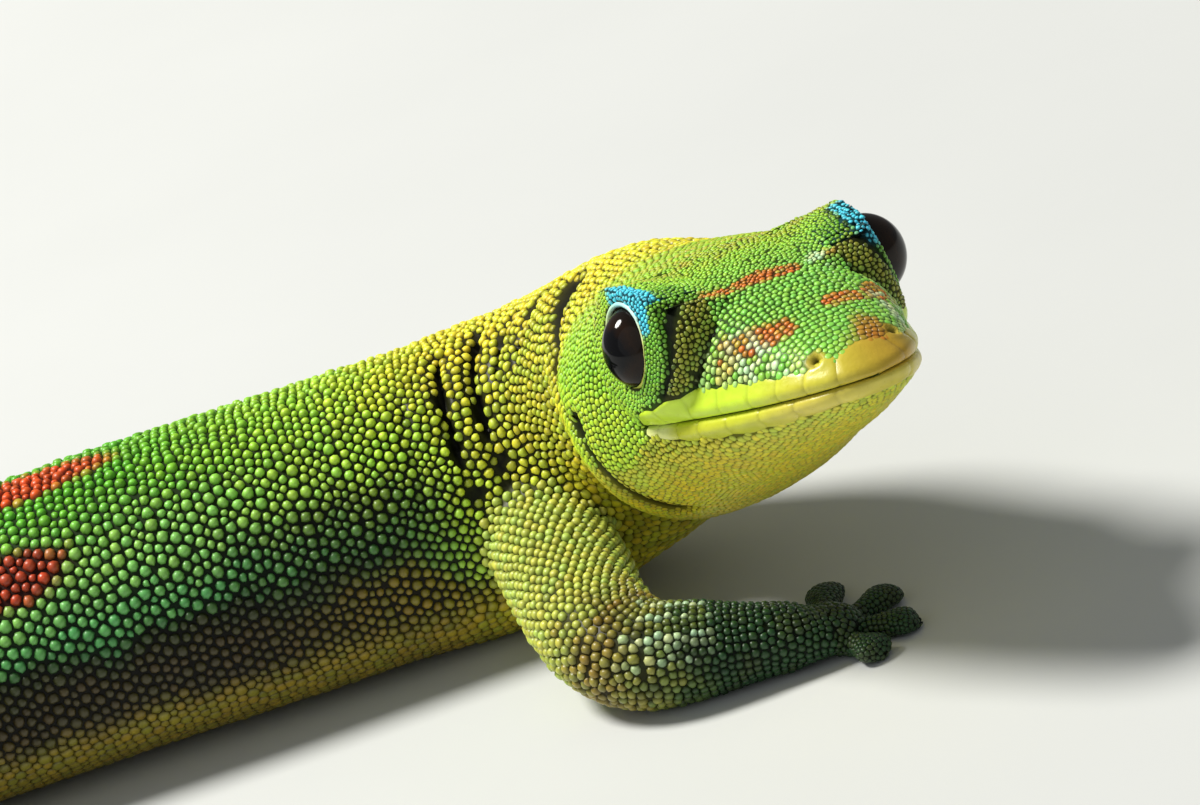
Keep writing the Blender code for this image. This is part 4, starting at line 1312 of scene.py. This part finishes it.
print("cover of a scale on the snout and on the back:", float(COVER(2.0)), float(COVER(42.0)))

# %% [markdown]
# A scale's outline comes from its neighbours: in every direction it reaches to half way, and soft
# corners keep it a bead and not a tile. Over that outline lies a dome of three rings and a top. All
# scales of one length of the animal are one mesh, and each carries its own spot of the texture map.

# %% Scale meshes
SIDES = 8
PROFILE = [(1.0, -0.30), (0.88, 0.42), (0.58, 0.87)]
# Each scale is painted darker at its foot and lighter on its top: painted shade round the base, a painted
# highlight on the top.
RING_SHADE = [0.16, 0.74, 1.05]
TOP_SHADE = 1.14
LARGEST = 0.68
PATCH = 0.0015


def forward_of(region, place):
    """The direction towards the head or along the limb, at roots."""
    forward = spine_frame(np.clip(place, 0, TAIL_TIP))[1]
    for number, leg in enumerate(LEGS):
        here = region == number
        share = np.clip(place[here], 0.0, 1.0)
        line = lines[leg.name]
        forward[here] = unit(line.at(np.minimum(share + 0.03, 1.0)) - line.at(np.maximum(share - 0.03, 0.0)))
    return forward


def outlines(roots, ahead, aside, pitch, near, gap, cover, smooth):
    """How far each scale reaches in each direction, and the directions."""
    offset = roots[near] - roots[:, None]
    toward = np.arctan2((offset * aside[:, None]).sum(-1), (offset * ahead[:, None]).sum(-1))
    share = pitch[:, None] / (pitch[:, None] + pitch[near]) * gap
    start = chance.random((len(roots), 1)) * 2 * math.pi
    direction = start + turns(SIDES)
    cosine = np.maximum(np.cos(direction[:, :, None] - toward[:, None, :]), 0.2)
    reach = ((share[:, None, :] / cosine) ** -10.0).sum(-1) ** -0.1
    reach = np.minimum(reach, LARGEST * pitch[:, None])
    even = np.minimum(reach, reach.mean(1, keepdims=True))
    reach = reach + (even - reach) * smooth[:, None]
    return reach * cover[:, None], direction


def mesh_of(name, points, faces, colours, uv=None):
    """A smooth mesh object from lists of equal-sided faces, with a colour at each point."""
    mesh = bpy.data.meshes.new(name)
    loops = np.concatenate([part.ravel() for part in faces])
    sizes = np.concatenate([np.full(len(part), part.shape[1]) for part in faces])
    mesh.vertices.add(len(points))
    mesh.vertices.foreach_set("co", (points * MM).ravel())
    mesh.loops.add(len(loops))
    mesh.loops.foreach_set("vertex_index", loops.astype(np.int32))
    mesh.polygons.add(len(sizes))
    mesh.polygons.foreach_set("loop_start", np.concatenate([[0], np.cumsum(sizes)[:-1]]).astype(np.int32))
    mesh.update(calc_edges=True)
    mesh.validate()
    set_marking_and_painted_light(mesh, colours)
    if uv is not None:
        layer = mesh.uv_layers.new(name="OFBake")
        layer.data.foreach_set("uv", uv[loops].ravel())
    mesh.shade_smooth()
    made = bpy.data.objects.new(name, mesh)
    bpy.context.scene.collection.objects.link(made)
    return made


def set_marking_and_painted_light(mesh, colours):
    layer = mesh.color_attributes.new(name="marking_and_painted_light", type="FLOAT_COLOR", domain="POINT")
    layer.data.foreach_set("color", np.column_stack([colours, np.ones(len(colours))]).ravel())


FOLD_BARE = 0.13
near, gap = neighbours(roots)
region, place, angle = traced(roots)
look = look_at(region, place, angle)
local = to_head(roots)
head_root = (region == BODY) & (place < HEAD_RIGID_TO + 1.0)
in_fold = fold_depth(place, np.degrees(angle)) * (region == BODY)
lip_level = height_over_mouth(np.clip(place, 0.05, TAIL_TIP), angle)
NOSTRIL_CLEAR = 0.34
EAR_CLEAR = 1.2
hidden = np.zeros(len(roots), bool)
for side in (1, -1):
    here = head_root & (local[:, 1] * side > 0)
    in_fold[here] = np.maximum(in_fold[here], crease_depth(local[here], side) * 1.45)
    size, _, height, _ = opening_size(local[here], side)
    hole = (size < 1.1) & (height > -0.4)
    nostril = np.linalg.norm(local[here] - on_side(NOSTRIL, side), axis=1) < NOSTRIL_CLEAR
    ear = np.linalg.norm((local[here] - on_side(EAR, side)) / EAR_SIZE, axis=1) < EAR_CLEAR
    hidden[here] = hole | nostril | ear
UPPER_LIP = Through([0.0, 0.7, 1.4, 3.0, 5.5, 7.5, 8.9], [0.98, 0.92, 0.76, 0.84, 0.96, 0.70, 0.20])
LOWER_LIP = Through([0.0, 1.0, 3.0, 6.0, 8.0, 8.9], [0.56, 0.60, 0.72, 0.66, 0.42, 0.18])
LIPS_END = 8.75
lips = head_root & (place < LIPS_END)
lips &= (lip_level < UPPER_LIP(np.clip(place, 0, 8.9))) & (lip_level > -LOWER_LIP(np.clip(place, 0, 8.9)))
clear = ~(hidden | lips | (in_fold > FOLD_BARE))
print("scales left out for openings and lips:", int((~clear).sum()))

pressed = smoothstep(in_fold / FOLD_BARE)
ahead = unit(forward_of(region, place) - facing * (forward_of(region, place) * facing).sum(1)[:, None])
aside = np.cross(facing, ahead)
cover = look.cover * (1 - 0.08 * pressed)
reach, direction = outlines(roots, ahead, aside, pitch, near, gap, cover, look.round)
rise = look.rise * pitch * (0.85 + 0.3 * chance.random(len(roots))) * (1 - 0.35 * pressed)
colour = marking_and_painted_light(region, place, angle, roots)
neck_root = (region == BODY) * smoothstep((place - 13.0) / 4.0) * (1 - smoothstep((place - 27.0) / 5.0))
wild = 0.13 + 0.12 * neck_root
dapple = 1 + wild * chance.uniform(-1, 1, len(roots))
warmth = 1 + np.outer(chance.uniform(-1, 1, len(roots)), [0.16, 0.0, -0.10])
# Scales in folds and creases are also painted darker, as painted shade; the other factors vary the tone at
# random.
colour = colour * warmth * (dapple * (1 - 0.45 * pressed))[:, None]


def flat_place(region, place, angle, start, end):
    """Where a root lies on the unwrapped skin of one length of the animal."""
    across = (angle / (2 * math.pi)) % 1.0
    return np.stack([0.02 + 0.96 * (place - start) / (end - start), 0.02 + 0.96 * across], axis=1)


def build_scales(name, chosen, start, end):
    """One mesh of all the chosen scales."""
    n = len(chosen)
    spot = roots[chosen]
    c = np.cos(direction[chosen])
    s = np.sin(direction[chosen])
    base = flat_place(region[chosen], place[chosen], angle[chosen], start, end)
    points = []
    spots = []
    shades = []
    for (share, lift), shade in zip(PROFILE, RING_SHADE):
        x = reach[chosen] * share * c
        y = reach[chosen] * share * s
        up = (lift * rise[chosen])[:, None] - look.tilt[chosen][:, None] * x * (1.0 if lift > 0 else 0.4)
        points.append(spot[:, None] + x[..., None] * ahead[chosen][:, None]
                      + y[..., None] * aside[chosen][:, None] + up[..., None] * facing[chosen][:, None])
        spots.append(base[:, None] + PATCH * share * np.stack([c, s], axis=-1))
        shades.append(np.full((n, SIDES), shade))
    rings = len(PROFILE)
    points = np.concatenate(points, axis=1).reshape(n, rings * SIDES, 3)
    top = spot + rise[chosen][:, None] * facing[chosen]
    points = np.concatenate([points, top[:, None]], axis=1).reshape(-1, 3)
    points[:, 2] = np.maximum(points[:, 2], 0.0)
    uv = np.concatenate(spots + [base[:, None]], axis=1).reshape(-1, 2)
    shade = np.concatenate(shades + [np.full((n, 1), TOP_SHADE)], axis=1).ravel()
    tone = np.repeat(colour[chosen], rings * SIDES + 1, axis=0) * shade[:, None]
    i = np.arange(SIDES)
    j = (i + 1) % SIDES
    belt = np.stack([i, j, j + SIDES, i + SIDES], axis=1)
    quads = np.concatenate([belt + r * SIDES for r in range(rings - 1)])
    cap = np.stack([i + (rings - 1) * SIDES, j + (rings - 1) * SIDES, np.full(SIDES, rings * SIDES)], axis=1)
    step = (np.arange(n) * (rings * SIDES + 1))[:, None, None]
    faces = [(quads + step).reshape(-1, 4), (cap + step).reshape(-1, 3)]
    made = mesh_of(name, points, faces, np.clip(tone, 0, 1), uv)
    print(name, "scales:", n, "triangles:", n * SIDES * (2 * rings - 1))
    return made


LENGTHS = [("scales_snout", 0.0, 7.0), ("scales_crown_and_cheeks", 7.0, 12.5), ("scales_nape", 12.5, 20.0),
           ("scales_neck", 20.0, 28.0), ("scales_chest", 28.0, 37.0), ("scales_belly", 37.0, 46.0),
           ("scales_loin", 46.0, 56.0), ("scales_hip", 56.0, 68.0), ("scales_tail_base", 68.0, 84.0),
           ("scales_tail_middle", 84.0, 101.0), ("scales_tail_tip", 101.0, TAIL_TIP)]
SLOTS = {"scales_snout": "skin_head", "scales_crown_and_cheeks": "skin_head", "scales_nape": "skin_neck",
         "scales_neck": "skin_neck", "scales_tail_base": "skin_tail", "scales_tail_middle": "skin_tail",
         "scales_tail_tip": "skin_tail"}
coat = []
for name, start, end in LENGTHS:
    chosen = np.flatnonzero(clear & (region == BODY) & (place >= start) & (place < end))
    made = build_scales(name, chosen, start, end)
    SLOTS.get(name, "skin_body")
    coat.append(made)
for number, leg in enumerate(LEGS):
    chosen = np.flatnonzero(clear & (region == number))
    made = build_scales("scales_" + leg.name, chosen, 0.0, 2.0)
    coat.append(made)

# %% [markdown]
# The skin shows only in the gaps between scales, where it is the same colour but much darker, as darker
# skin and painted shade, and in the openings, where painted shade makes the ear and the nostril black
# and the mouth brown. It is laid flat along the same two numbers as the scales, so that both find
# their place on a texture map.

# %% Colour and map of the skin
LIMB_STRIP = 0.74


def skin_layout(region, place, angle):
    across = (angle / (2 * math.pi)) % 1.0
    body_spot = np.stack([0.01 + 0.98 * place / TAIL_TIP, 0.01 + 0.70 * across], axis=1)
    along = (np.maximum(region, 0) + 0.05 + 0.44 * place) / 4
    limb_spot = np.stack([along, LIMB_STRIP + 0.24 * across], axis=1)
    return np.where((region == BODY)[:, None], body_spot, limb_spot)


s_region, s_place, s_angle = traced(skin_points)
s_look = look_at(s_region, s_place, s_angle)
s_local = to_head(skin_points)
s_colour = marking_and_painted_light(s_region, s_place, s_angle, skin_points)
s_lip = height_over_mouth(np.clip(s_place, 0.05, TAIL_TIP), s_angle)
# Darker skin and painted shade between the scales.
s_tone_and_shade = s_look.gap_dark
s_fold = fold_depth(s_place, np.degrees(s_angle)) * (s_region == BODY)
# Skin in the folds is painted darker: painted shade.
s_tone_and_shade = s_tone_and_shade * (1 - 0.85 * smoothstep((s_fold - 0.06) / 0.16))
# The groove of the mouth is painted dark: painted shade.
near_mouth = (s_region == BODY) & (s_place < 9.2) & (np.abs(s_lip) < 0.13)
s_tone_and_shade = np.where(near_mouth, 0.16, s_tone_and_shade)
for side in (1, -1):
    here = (s_region == BODY) & (s_place < HEAD_RIGID_TO) & (s_local[:, 1] * side > 0)
    unpressed = to_head(body_point(s_place[here], s_angle[here]))
    ear = np.linalg.norm((unpressed - on_side(EAR, side)) / EAR_SIZE, axis=1)
    nostril = np.linalg.norm(unpressed - on_side(NOSTRIL, side), axis=1) / NOSTRIL_RADIUS
    # The ear and the inside of the nostril are painted nearly black: painted shade. The nostril's rim stays
    # light.
    s_tone_and_shade[here] *= 1 - 0.96 * (1 - smoothstep((ear - 1.1) / 0.3))
    s_tone_and_shade[here] = np.maximum(s_tone_and_shade[here], 0.9 * (nostril < 2.1))
    s_tone_and_shade[here] *= 1 - 0.96 * (1 - smoothstep((nostril - 0.95) / 0.25))
set_marking_and_painted_light(skin.data, s_colour * s_tone_and_shade[:, None])

skin_mesh = skin.data
loop_points = np.empty(len(skin_mesh.loops), np.int64)
skin_mesh.loops.foreach_get("vertex_index", loop_points)
loop_face = np.empty(len(skin_mesh.polygons), np.int64)
skin_mesh.polygons.foreach_get("loop_start", loop_face)
loop_count = np.diff(np.append(loop_face, len(loop_points)))
lead = loop_points[np.repeat(loop_face, loop_count)]
turned = s_angle[loop_points] - s_angle[lead]
unwound = s_angle[lead] + (turned + math.pi) % (2 * math.pi) - math.pi
spots = skin_layout(s_region[lead], s_place[loop_points], np.clip(unwound, 0, 2 * math.pi - 1e-6))
layer = skin_mesh.uv_layers.new(name="OFBake")
layer.data.foreach_set("uv", np.clip(spots, 0.002, 0.998).ravel())
skin_mesh.shade_smooth()
print("skin faces laid flat:", len(loop_face))

# %% [markdown]
# The plates of the lips are larger than any scale: a row above the mouth and a row below it, with a
# broad one at the tip of the snout above and below. Each is a small pillow laid over the skin, found
# by looking at the snout from outside along its own horizontal.

# %% Plates of the lips
UPPER_PLATES = [-0.5, 0.5, 1.35, 2.35, 3.5, 4.8, 6.15, 7.3, 8.15, 8.75]
LOWER_PLATES = [-0.62, 0.62, 1.9, 3.3, 4.7, 6.0, 7.15, 8.1, 8.7]
PLATE_STEPS = 14
PLATE_RISE = 0.036
PLATE_EDGE = -0.008
PLATE_GAP = 0.0
MOUTH_GAP = 0.018


def mouth_line():
    """The mouth seen from above, from the right corner round the snout to the left one."""
    at = np.linspace(0.1, MOUTH_CORNER, 120)
    right_side = body_point(at, math.pi)[::-1]
    left_side = body_point(at, 0.0)
    points = np.concatenate([right_side, left_side])
    return points, np.concatenate([-at[::-1], at])


mouth_points, mouth_at = mouth_line()


def lip_spots(at, height):
    """Spots of the skin at signed stations along the mouth and heights from it, and its facing."""
    centre = np.stack([np.interp(at, mouth_at, mouth_points[:, k]) for k in range(3)], axis=1)
    step = 0.25
    after = np.stack([np.interp(at + step, mouth_at, mouth_points[:, k]) for k in range(3)], axis=1)
    before = np.stack([np.interp(at - step, mouth_at, mouth_points[:, k]) for k in range(3)], axis=1)
    outward = unit(np.cross(after - before, head_up) * -1.0)
    outward *= np.sign((outward * (centre - HEAD_MIDDLE)).sum(1))[:, None]
    spots = []
    faces = []
    for origin, heading in zip(centre + outward * 2.0 + head_up * height[:, None], outward):
        hit = skin_tree.ray_cast(Vector(origin), Vector(-heading), 5.0)
        spots.append(hit[0] if hit[0] is not None else origin)
        faces.append(hit[1] if hit[1] is not None else heading)
    spots = np.array([list(spot) for spot in spots])
    faces = unit(np.array([list(face) for face in faces]) + 0.35 * outward)
    return spots, faces


def plate(at_start, at_end, upper):
    """Points and inner distances of one plate."""
    along, across = grid(np.linspace(0, 1, PLATE_STEPS), np.linspace(0, 1, PLATE_STEPS))
    at = at_start + PLATE_GAP + (at_end - at_start - 2 * PLATE_GAP) * along
    reach = UPPER_LIP(np.abs(at)) if upper else LOWER_LIP(np.abs(at))
    scallop = 0.90 + 0.13 * np.sin(math.pi * along)
    height = MOUTH_GAP + (reach * scallop - MOUTH_GAP) * across
    spots, faces = lip_spots(at, height if upper else -height)
    pillow = ((1 - np.abs(2 * along - 1) ** 6) * (1 - np.abs(2 * across - 1) ** 5)) ** 0.5
    rise = PLATE_RISE * (1 - 0.7 * smoothstep((np.abs(at) - 7.4) / 1.2))
    return spots + faces * (rise * pillow - PLATE_EDGE)[:, None], at, pillow


def lip_colour(points, at, upper, pillow):
    tip = 1 - smoothstep((np.abs(at) - 1.2) / 3.2)
    if upper:
        colour = blend(np.tile(BRIGHT_LIME, (len(at), 1)), paint(214, 208, 66), tip)
        front = 1 - smoothstep(np.abs(at - 0.5) / 1.5)
        colour = blend(colour, SNOUT_BROWN, 0.55 * front)
    else:
        colour = blend(np.tile(paint(206, 212, 52), (len(at), 1)), paint(222, 208, 84), tip)
        # A pale patch at the corners of the lower lip is a painted highlight.
        colour = blend(colour, paint(240, 244, 176), 0.7 * smoothstep((np.abs(at) - 7.0) / 0.8))
    # Plates are painted darker towards their edges: painted shade between them.
    edge = 0.86 + 0.14 * smoothstep(pillow * 2.0)
    return colour * (edge * (1 + 0.06 * waver(points, 0.9, 8.0)))[:, None]


plate_points, plate_colours, plate_faces, plate_uv = [], [], [], []
i, j = grid(np.arange(PLATE_STEPS - 1), np.arange(PLATE_STEPS - 1))
plate_quads = np.stack([i * PLATE_STEPS + j, (i + 1) * PLATE_STEPS + j,
                        (i + 1) * PLATE_STEPS + j + 1, i * PLATE_STEPS + j + 1], axis=1)
for upper, marks in ((True, UPPER_PLATES), (False, LOWER_PLATES)):
    spans = list(zip(marks, marks[1:]))
    spans += [(-end, -start) for start, end in spans[1:]]
    for start, end in spans:
        points, at, pillow = plate(start, end, upper)
        step = sum(len(part) for part in plate_points)
        facing_out = np.cross(points[PLATE_STEPS] - points[0], points[1] - points[0])
        outward = points.mean(0) - from_head([3.0, 0.0, -2.0])
        quads = plate_quads if facing_out @ outward > 0 else plate_quads[:, ::-1]
        plate_points.append(points)
        plate_colours.append(lip_colour(points, at, upper, pillow))
        plate_faces.append(quads + step)
        plate_uv.append(np.stack([0.5 + at / 18.5, 0.5 + to_head(points)[:, 2] / 8.0], axis=1))
lip_plates = mesh_of("lip_plates", np.concatenate(plate_points), [np.concatenate(plate_faces)],
                     np.concatenate(plate_colours), np.concatenate(plate_uv))
print("plates of the lips:", len(plate_points))

# %% [markdown]
# A gecko has no moving eyelids: a clear cap covers the eye, and a narrow pale rim of tiny scales
# frames it. The eye is a slightly stretched ball, dark brown round a black pupil, and its gloss comes
# from a smooth clear coat.

# %% Eyes and their rims
GLOBE = (1.11, 1.37, 1.32)
RIM_LEVEL = {1: 0.12, -1: 0.53}
RIM_THICK = 0.082
RIM_OUT = 0.03
RIM_POINTS = 120
RIM_SIDES = 10


def eye_place(side):
    """Where one eye is and how it is turned, as a matrix in metres."""
    ahead, up, out = (vector @ HEAD_AXES for vector in eye_axes(side))
    matrix = Matrix([[*row] for row in np.stack([ahead, up, out], axis=1)]).to_4x4()
    centre = Vector(from_head(on_side(GLOBE_CENTRE, side))) * MM
    return Matrix.Translation(centre) @ matrix


def build_globe(side):
    name = "globe_left" if side > 0 else "globe_right"
    rise, turn = grid(np.linspace(0.0, math.pi, 49)[1:-1], turns(96))
    ball = np.stack([np.sin(rise) * np.cos(turn), np.sin(rise) * np.sin(turn), np.cos(rise)], axis=1)
    made = closed_net(name, ball * GLOBE, 96)
    made.data.shade_smooth()
    from_axis = made.data.attributes.new("from_axis", "FLOAT", "POINT")
    from_axis.data.foreach_set("value", np.hypot(ball[:, 0] * GLOBE[0], ball[:, 1] * GLOBE[1]))
    place = eye_place(side)
    made.data.transform(place)
    if place.determinant() < 0:
        made.data.flip_normals()
    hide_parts("eye_left" if side > 0 else "eye_right")
    return made


def rim_points(side):
    """A ring of tiny beads' height round the opening of one eye."""
    ahead, up, out = eye_axes(side)
    turn = turns(RIM_POINTS)
    x = (OPENING_HALF_WIDTH[side] * narrowing(np.sin(turn)) + RIM_OUT) * np.cos(turn)
    y = (OPENING_HALF_HEIGHT[side] + RIM_OUT) * np.sin(turn)
    x, y = leaned(x, y, -OPENING_LEAN)
    x, y = x + OPENING_OFFSET[0], y + OPENING_OFFSET[1]
    centre = on_side(GLOBE_CENTRE, side) + np.outer(x, ahead) + np.outer(y, up) + RIM_LEVEL[side] * out
    outward = unit(np.outer(x, ahead) + np.outer(y, up))
    thick = RIM_THICK * (1 + 0.04 * np.sin(turn * 17))
    points = []
    for k in turns(RIM_SIDES):
        bead = outward * (thick * math.cos(k))[:, None] + out * (thick * math.sin(k))[:, None]
        points.append(centre + bead)
    return from_head(np.stack(points, axis=1).reshape(-1, 3))


def build_rims():
    i, j = grid(np.arange(RIM_POINTS), np.arange(RIM_SIDES))
    a = (i + 1) % RIM_POINTS
    b = (j + 1) % RIM_SIDES
    quads = np.stack([i * RIM_SIDES + j, a * RIM_SIDES + j, a * RIM_SIDES + b, i * RIM_SIDES + b], axis=1)
    points = np.concatenate([rim_points(1), rim_points(-1)])
    faces = np.concatenate([quads, quads[:, ::-1] + RIM_POINTS * RIM_SIDES])
    turn = np.tile(np.repeat(turns(RIM_POINTS), RIM_SIDES), 2)
    colours = ramp(turn, np.radians([0, 40, 90, 150, 220, 300, 360]),
                   [CREAM, paint(214, 246, 240), paint(170, 236, 236), CREAM,
                    LIME, paint(238, 240, 96), CREAM])
    spots = np.stack([turn / 7.0, np.tile(turns(RIM_SIDES) / 7.0, 2 * RIM_POINTS)], axis=1)
    return mesh_of("eye_rims", points, [faces], colours, spots)


globes = [build_globe(1), build_globe(-1)]
rims = build_rims()
print("eyes and rims are in place")

# %% [markdown]
# The finish of a scale is horn over colour: a soft shine with small uneven spots. The material reads
# the painted marking with its painted light and shade, varies it a little with fine noise, and lets a
# second noise roughen the surface. The skin between the scales takes the same marking and painted
# shade with less shine.

# %% Finishes
def noise(tree, scale, detail, coordinates):
    made = tree.nodes.new("ShaderNodeTexNoise")
    made.inputs["Scale"].default_value = scale
    made.inputs["Detail"].default_value = detail
    tree.links.new(coordinates, made.inputs["Vector"])
    return made.outputs["Fac"]


def spread_to(tree, value, low, high):
    made = tree.nodes.new("ShaderNodeMapRange")
    made.inputs["From Min"].default_value = 0.3
    made.inputs["From Max"].default_value = 0.7
    made.inputs["To Min"].default_value = low
    made.inputs["To Max"].default_value = high
    tree.links.new(value, made.inputs["Value"])
    return made.outputs["Result"]


def horn(name, rough, shine, bump, vary):
    """A finish that reads the painted marking with its painted light and shade."""
    made = bpy.data.materials.new(name)
    made.use_nodes = True
    tree = made.node_tree
    shader = tree.nodes["Principled BSDF"]
    coordinates = tree.nodes.new("ShaderNodeTexCoord").outputs["Object"]
    marking_and_painted_light = tree.nodes.new("ShaderNodeAttribute")
    marking_and_painted_light.attribute_name = "marking_and_painted_light"
    light = spread_to(tree, noise(tree, 2600.0, 3.0, coordinates), 1 - vary, 1 + vary)
    scaled = tree.nodes.new("ShaderNodeVectorMath")
    scaled.operation = "SCALE"
    tree.links.new(marking_and_painted_light.outputs["Color"], scaled.inputs["Vector"])
    tree.links.new(light, scaled.inputs["Scale"])
    tree.links.new(scaled.outputs["Vector"], shader.inputs["Base Color"])
    uneven = spread_to(tree, noise(tree, 5200.0, 2.0, coordinates), rough - 0.07, rough + 0.09)
    tree.links.new(uneven, shader.inputs["Roughness"])
    ripple = tree.nodes.new("ShaderNodeBump")
    ripple.inputs["Strength"].default_value = bump
    ripple.inputs["Distance"].default_value = 0.00003
    tree.links.new(noise(tree, 9000.0, 3.0, coordinates), ripple.inputs["Height"])
    tree.links.new(ripple.outputs["Normal"], shader.inputs["Normal"])
    shader.inputs["Specular IOR Level"].default_value = shine
    shader.inputs["Coat Weight"].default_value = 0.12
    shader.inputs["Coat Roughness"].default_value = 0.25
    return made


def wet_eye():
    """Black pupil, dark brown iris with slightly uneven edges, dark outer ring, under a clear coat."""
    made = bpy.data.materials.new("wet_eye")
    made.use_nodes = True
    tree = made.node_tree
    shader = tree.nodes["Principled BSDF"]
    coordinates = tree.nodes.new("ShaderNodeTexCoord").outputs["Object"]
    from_axis = tree.nodes.new("ShaderNodeAttribute")
    from_axis.attribute_name = "from_axis"
    sum_up = tree.nodes.new("ShaderNodeMath")
    tree.links.new(from_axis.outputs["Fac"], sum_up.inputs[0])
    tree.links.new(spread_to(tree, noise(tree, 3000.0, 2.0, coordinates), -0.06, 0.06), sum_up.inputs[1])
    share = tree.nodes.new("ShaderNodeMapRange")
    share.inputs["From Max"].default_value = 1.42
    tree.links.new(sum_up.outputs["Value"], share.inputs["Value"])
    bands = tree.nodes.new("ShaderNodeValToRGB")
    bands.color_ramp.elements[0].position = 0.46
    bands.color_ramp.elements[0].color = (0.004, 0.004, 0.005, 1)
    bands.color_ramp.elements[1].position = 0.92
    bands.color_ramp.elements[1].color = (0.006, 0.005, 0.004, 1)
    brown = bands.color_ramp.elements.new(0.62)
    brown.color = (0.018, 0.009, 0.005, 1)
    deep = bands.color_ramp.elements.new(0.78)
    deep.color = (0.010, 0.006, 0.004, 1)
    tree.links.new(share.outputs["Result"], bands.inputs["Fac"])
    tree.links.new(bands.outputs["Color"], shader.inputs["Base Color"])
    shader.inputs["Roughness"].default_value = 0.08
    shader.inputs["IOR"].default_value = 1.33
    shader.inputs["Specular IOR Level"].default_value = 0.35
    shader.inputs["Coat Weight"].default_value = 0.1
    shader.inputs["Coat Roughness"].default_value = 0.02
    return made


scale_horn = horn("scale_horn", 0.40, 0.42, 0.35, 0.10)
bare_skin = horn("bare_skin", 0.66, 0.10, 0.5, 0.12)
plate_horn = horn("plate_horn", 0.34, 0.50, 0.30, 0.05)
rim_horn = horn("rim_horn", 0.40, 0.45, 0.30, 0.05)
eye_finish = wet_eye()
for piece in coat:
    piece.data.materials.append(scale_horn)
skin.data.materials.clear()
skin.data.materials.append(bare_skin)
lip_plates.data.materials.append(plate_horn)
rims.data.materials.append(rim_horn)
for piece in globes:
    piece.data.materials.append(eye_finish)

# %% [markdown]
# The animal rests on a plain pale floor. One soft lamp stands high on the left and a little behind, as
# the sun did. A larger and weaker one fills the shadows from the front, and the room adds a little
# light all round.

# %% Floor and light
FLOOR_SIZE = 3.0


def build_floor():
    mesh = bpy.data.meshes.new("floor")
    half = FLOOR_SIZE / 2
    square = [(-half, -half, 0), (half, -half, 0), (half, half, 0), (-half, half, 0)]
    mesh.from_pydata(square, [], [(0, 1, 2, 3)])
    made = bpy.data.objects.new("floor", mesh)
    bpy.context.scene.collection.objects.link(made)
    finish = bpy.data.materials.new("floor_paper")
    finish.use_nodes = True
    tree = finish.node_tree
    shader = tree.nodes["Principled BSDF"]
    coordinates = tree.nodes.new("ShaderNodeTexCoord").outputs["Object"]
    tone = tree.nodes.new("ShaderNodeValToRGB")
    tone.color_ramp.elements[0].color = (0.60, 0.62, 0.62, 1)
    tone.color_ramp.elements[1].color = (0.66, 0.68, 0.68, 1)
    tree.links.new(noise(tree, 40.0, 4.0, coordinates), tone.inputs["Fac"])
    tree.links.new(tone.outputs["Color"], shader.inputs["Base Color"])
    shader.inputs["Roughness"].default_value = 0.7
    made.data.materials.append(finish)
    return made


def lamp(name, place, size, watts, colour):
    """A round soft lamp that looks at the head."""
    data = bpy.data.lights.new(name, "AREA")
    data.shape = "DISK"
    data.energy = watts
    data.size = size
    data.color = colour
    made = bpy.data.objects.new(name, data)
    aim = Vector((0.012, -0.005, 0.005)) - Vector(place)
    made.matrix_world = Matrix.Translation(place) @ aim.to_track_quat("-Z", "Y").to_matrix().to_4x4()
    bpy.context.scene.collection.objects.link(made)


floor = build_floor()
floor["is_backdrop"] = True
lamp("key_lamp", (-0.238, 0.090, 0.425), 0.16, 3.5, (1.0, 0.97, 0.90))
lamp("fill_lamp", (-0.20, -0.52, 0.34), 0.90, 0.60, (0.98, 0.98, 1.0))
world = bpy.data.worlds.new("room")
world.use_nodes = True
world.node_tree.nodes["Background"].inputs["Color"].default_value = (0.92, 0.94, 0.95, 1)
world.node_tree.nodes["Background"].inputs["Strength"].default_value = 0.22
bpy.context.scene.world = world
bpy.context.scene.view_settings.view_transform = "Standard"

# %% [markdown]
# Last, every piece is tied to the body it rides on, the solids of flesh are hidden, and the box of
# the finished animal is printed, as the box of the solids was at the start.

# %% Tying the pieces to the frame
flesh = [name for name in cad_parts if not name.startswith("eye_")]
skin.name = "skin"
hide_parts(*flesh)
for piece in [skin, lip_plates, rims] + coat + globes:
    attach(piece, "root")

boxes = {"cad": cad_box, "visual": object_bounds()}
{name: [[float(v) for v in corner] for corner in box] for name, box in boxes.items()}
print("box of the finished animal in mm:", [[round(v / MM, 2) for v in corner] for corner in boxes["visual"]])
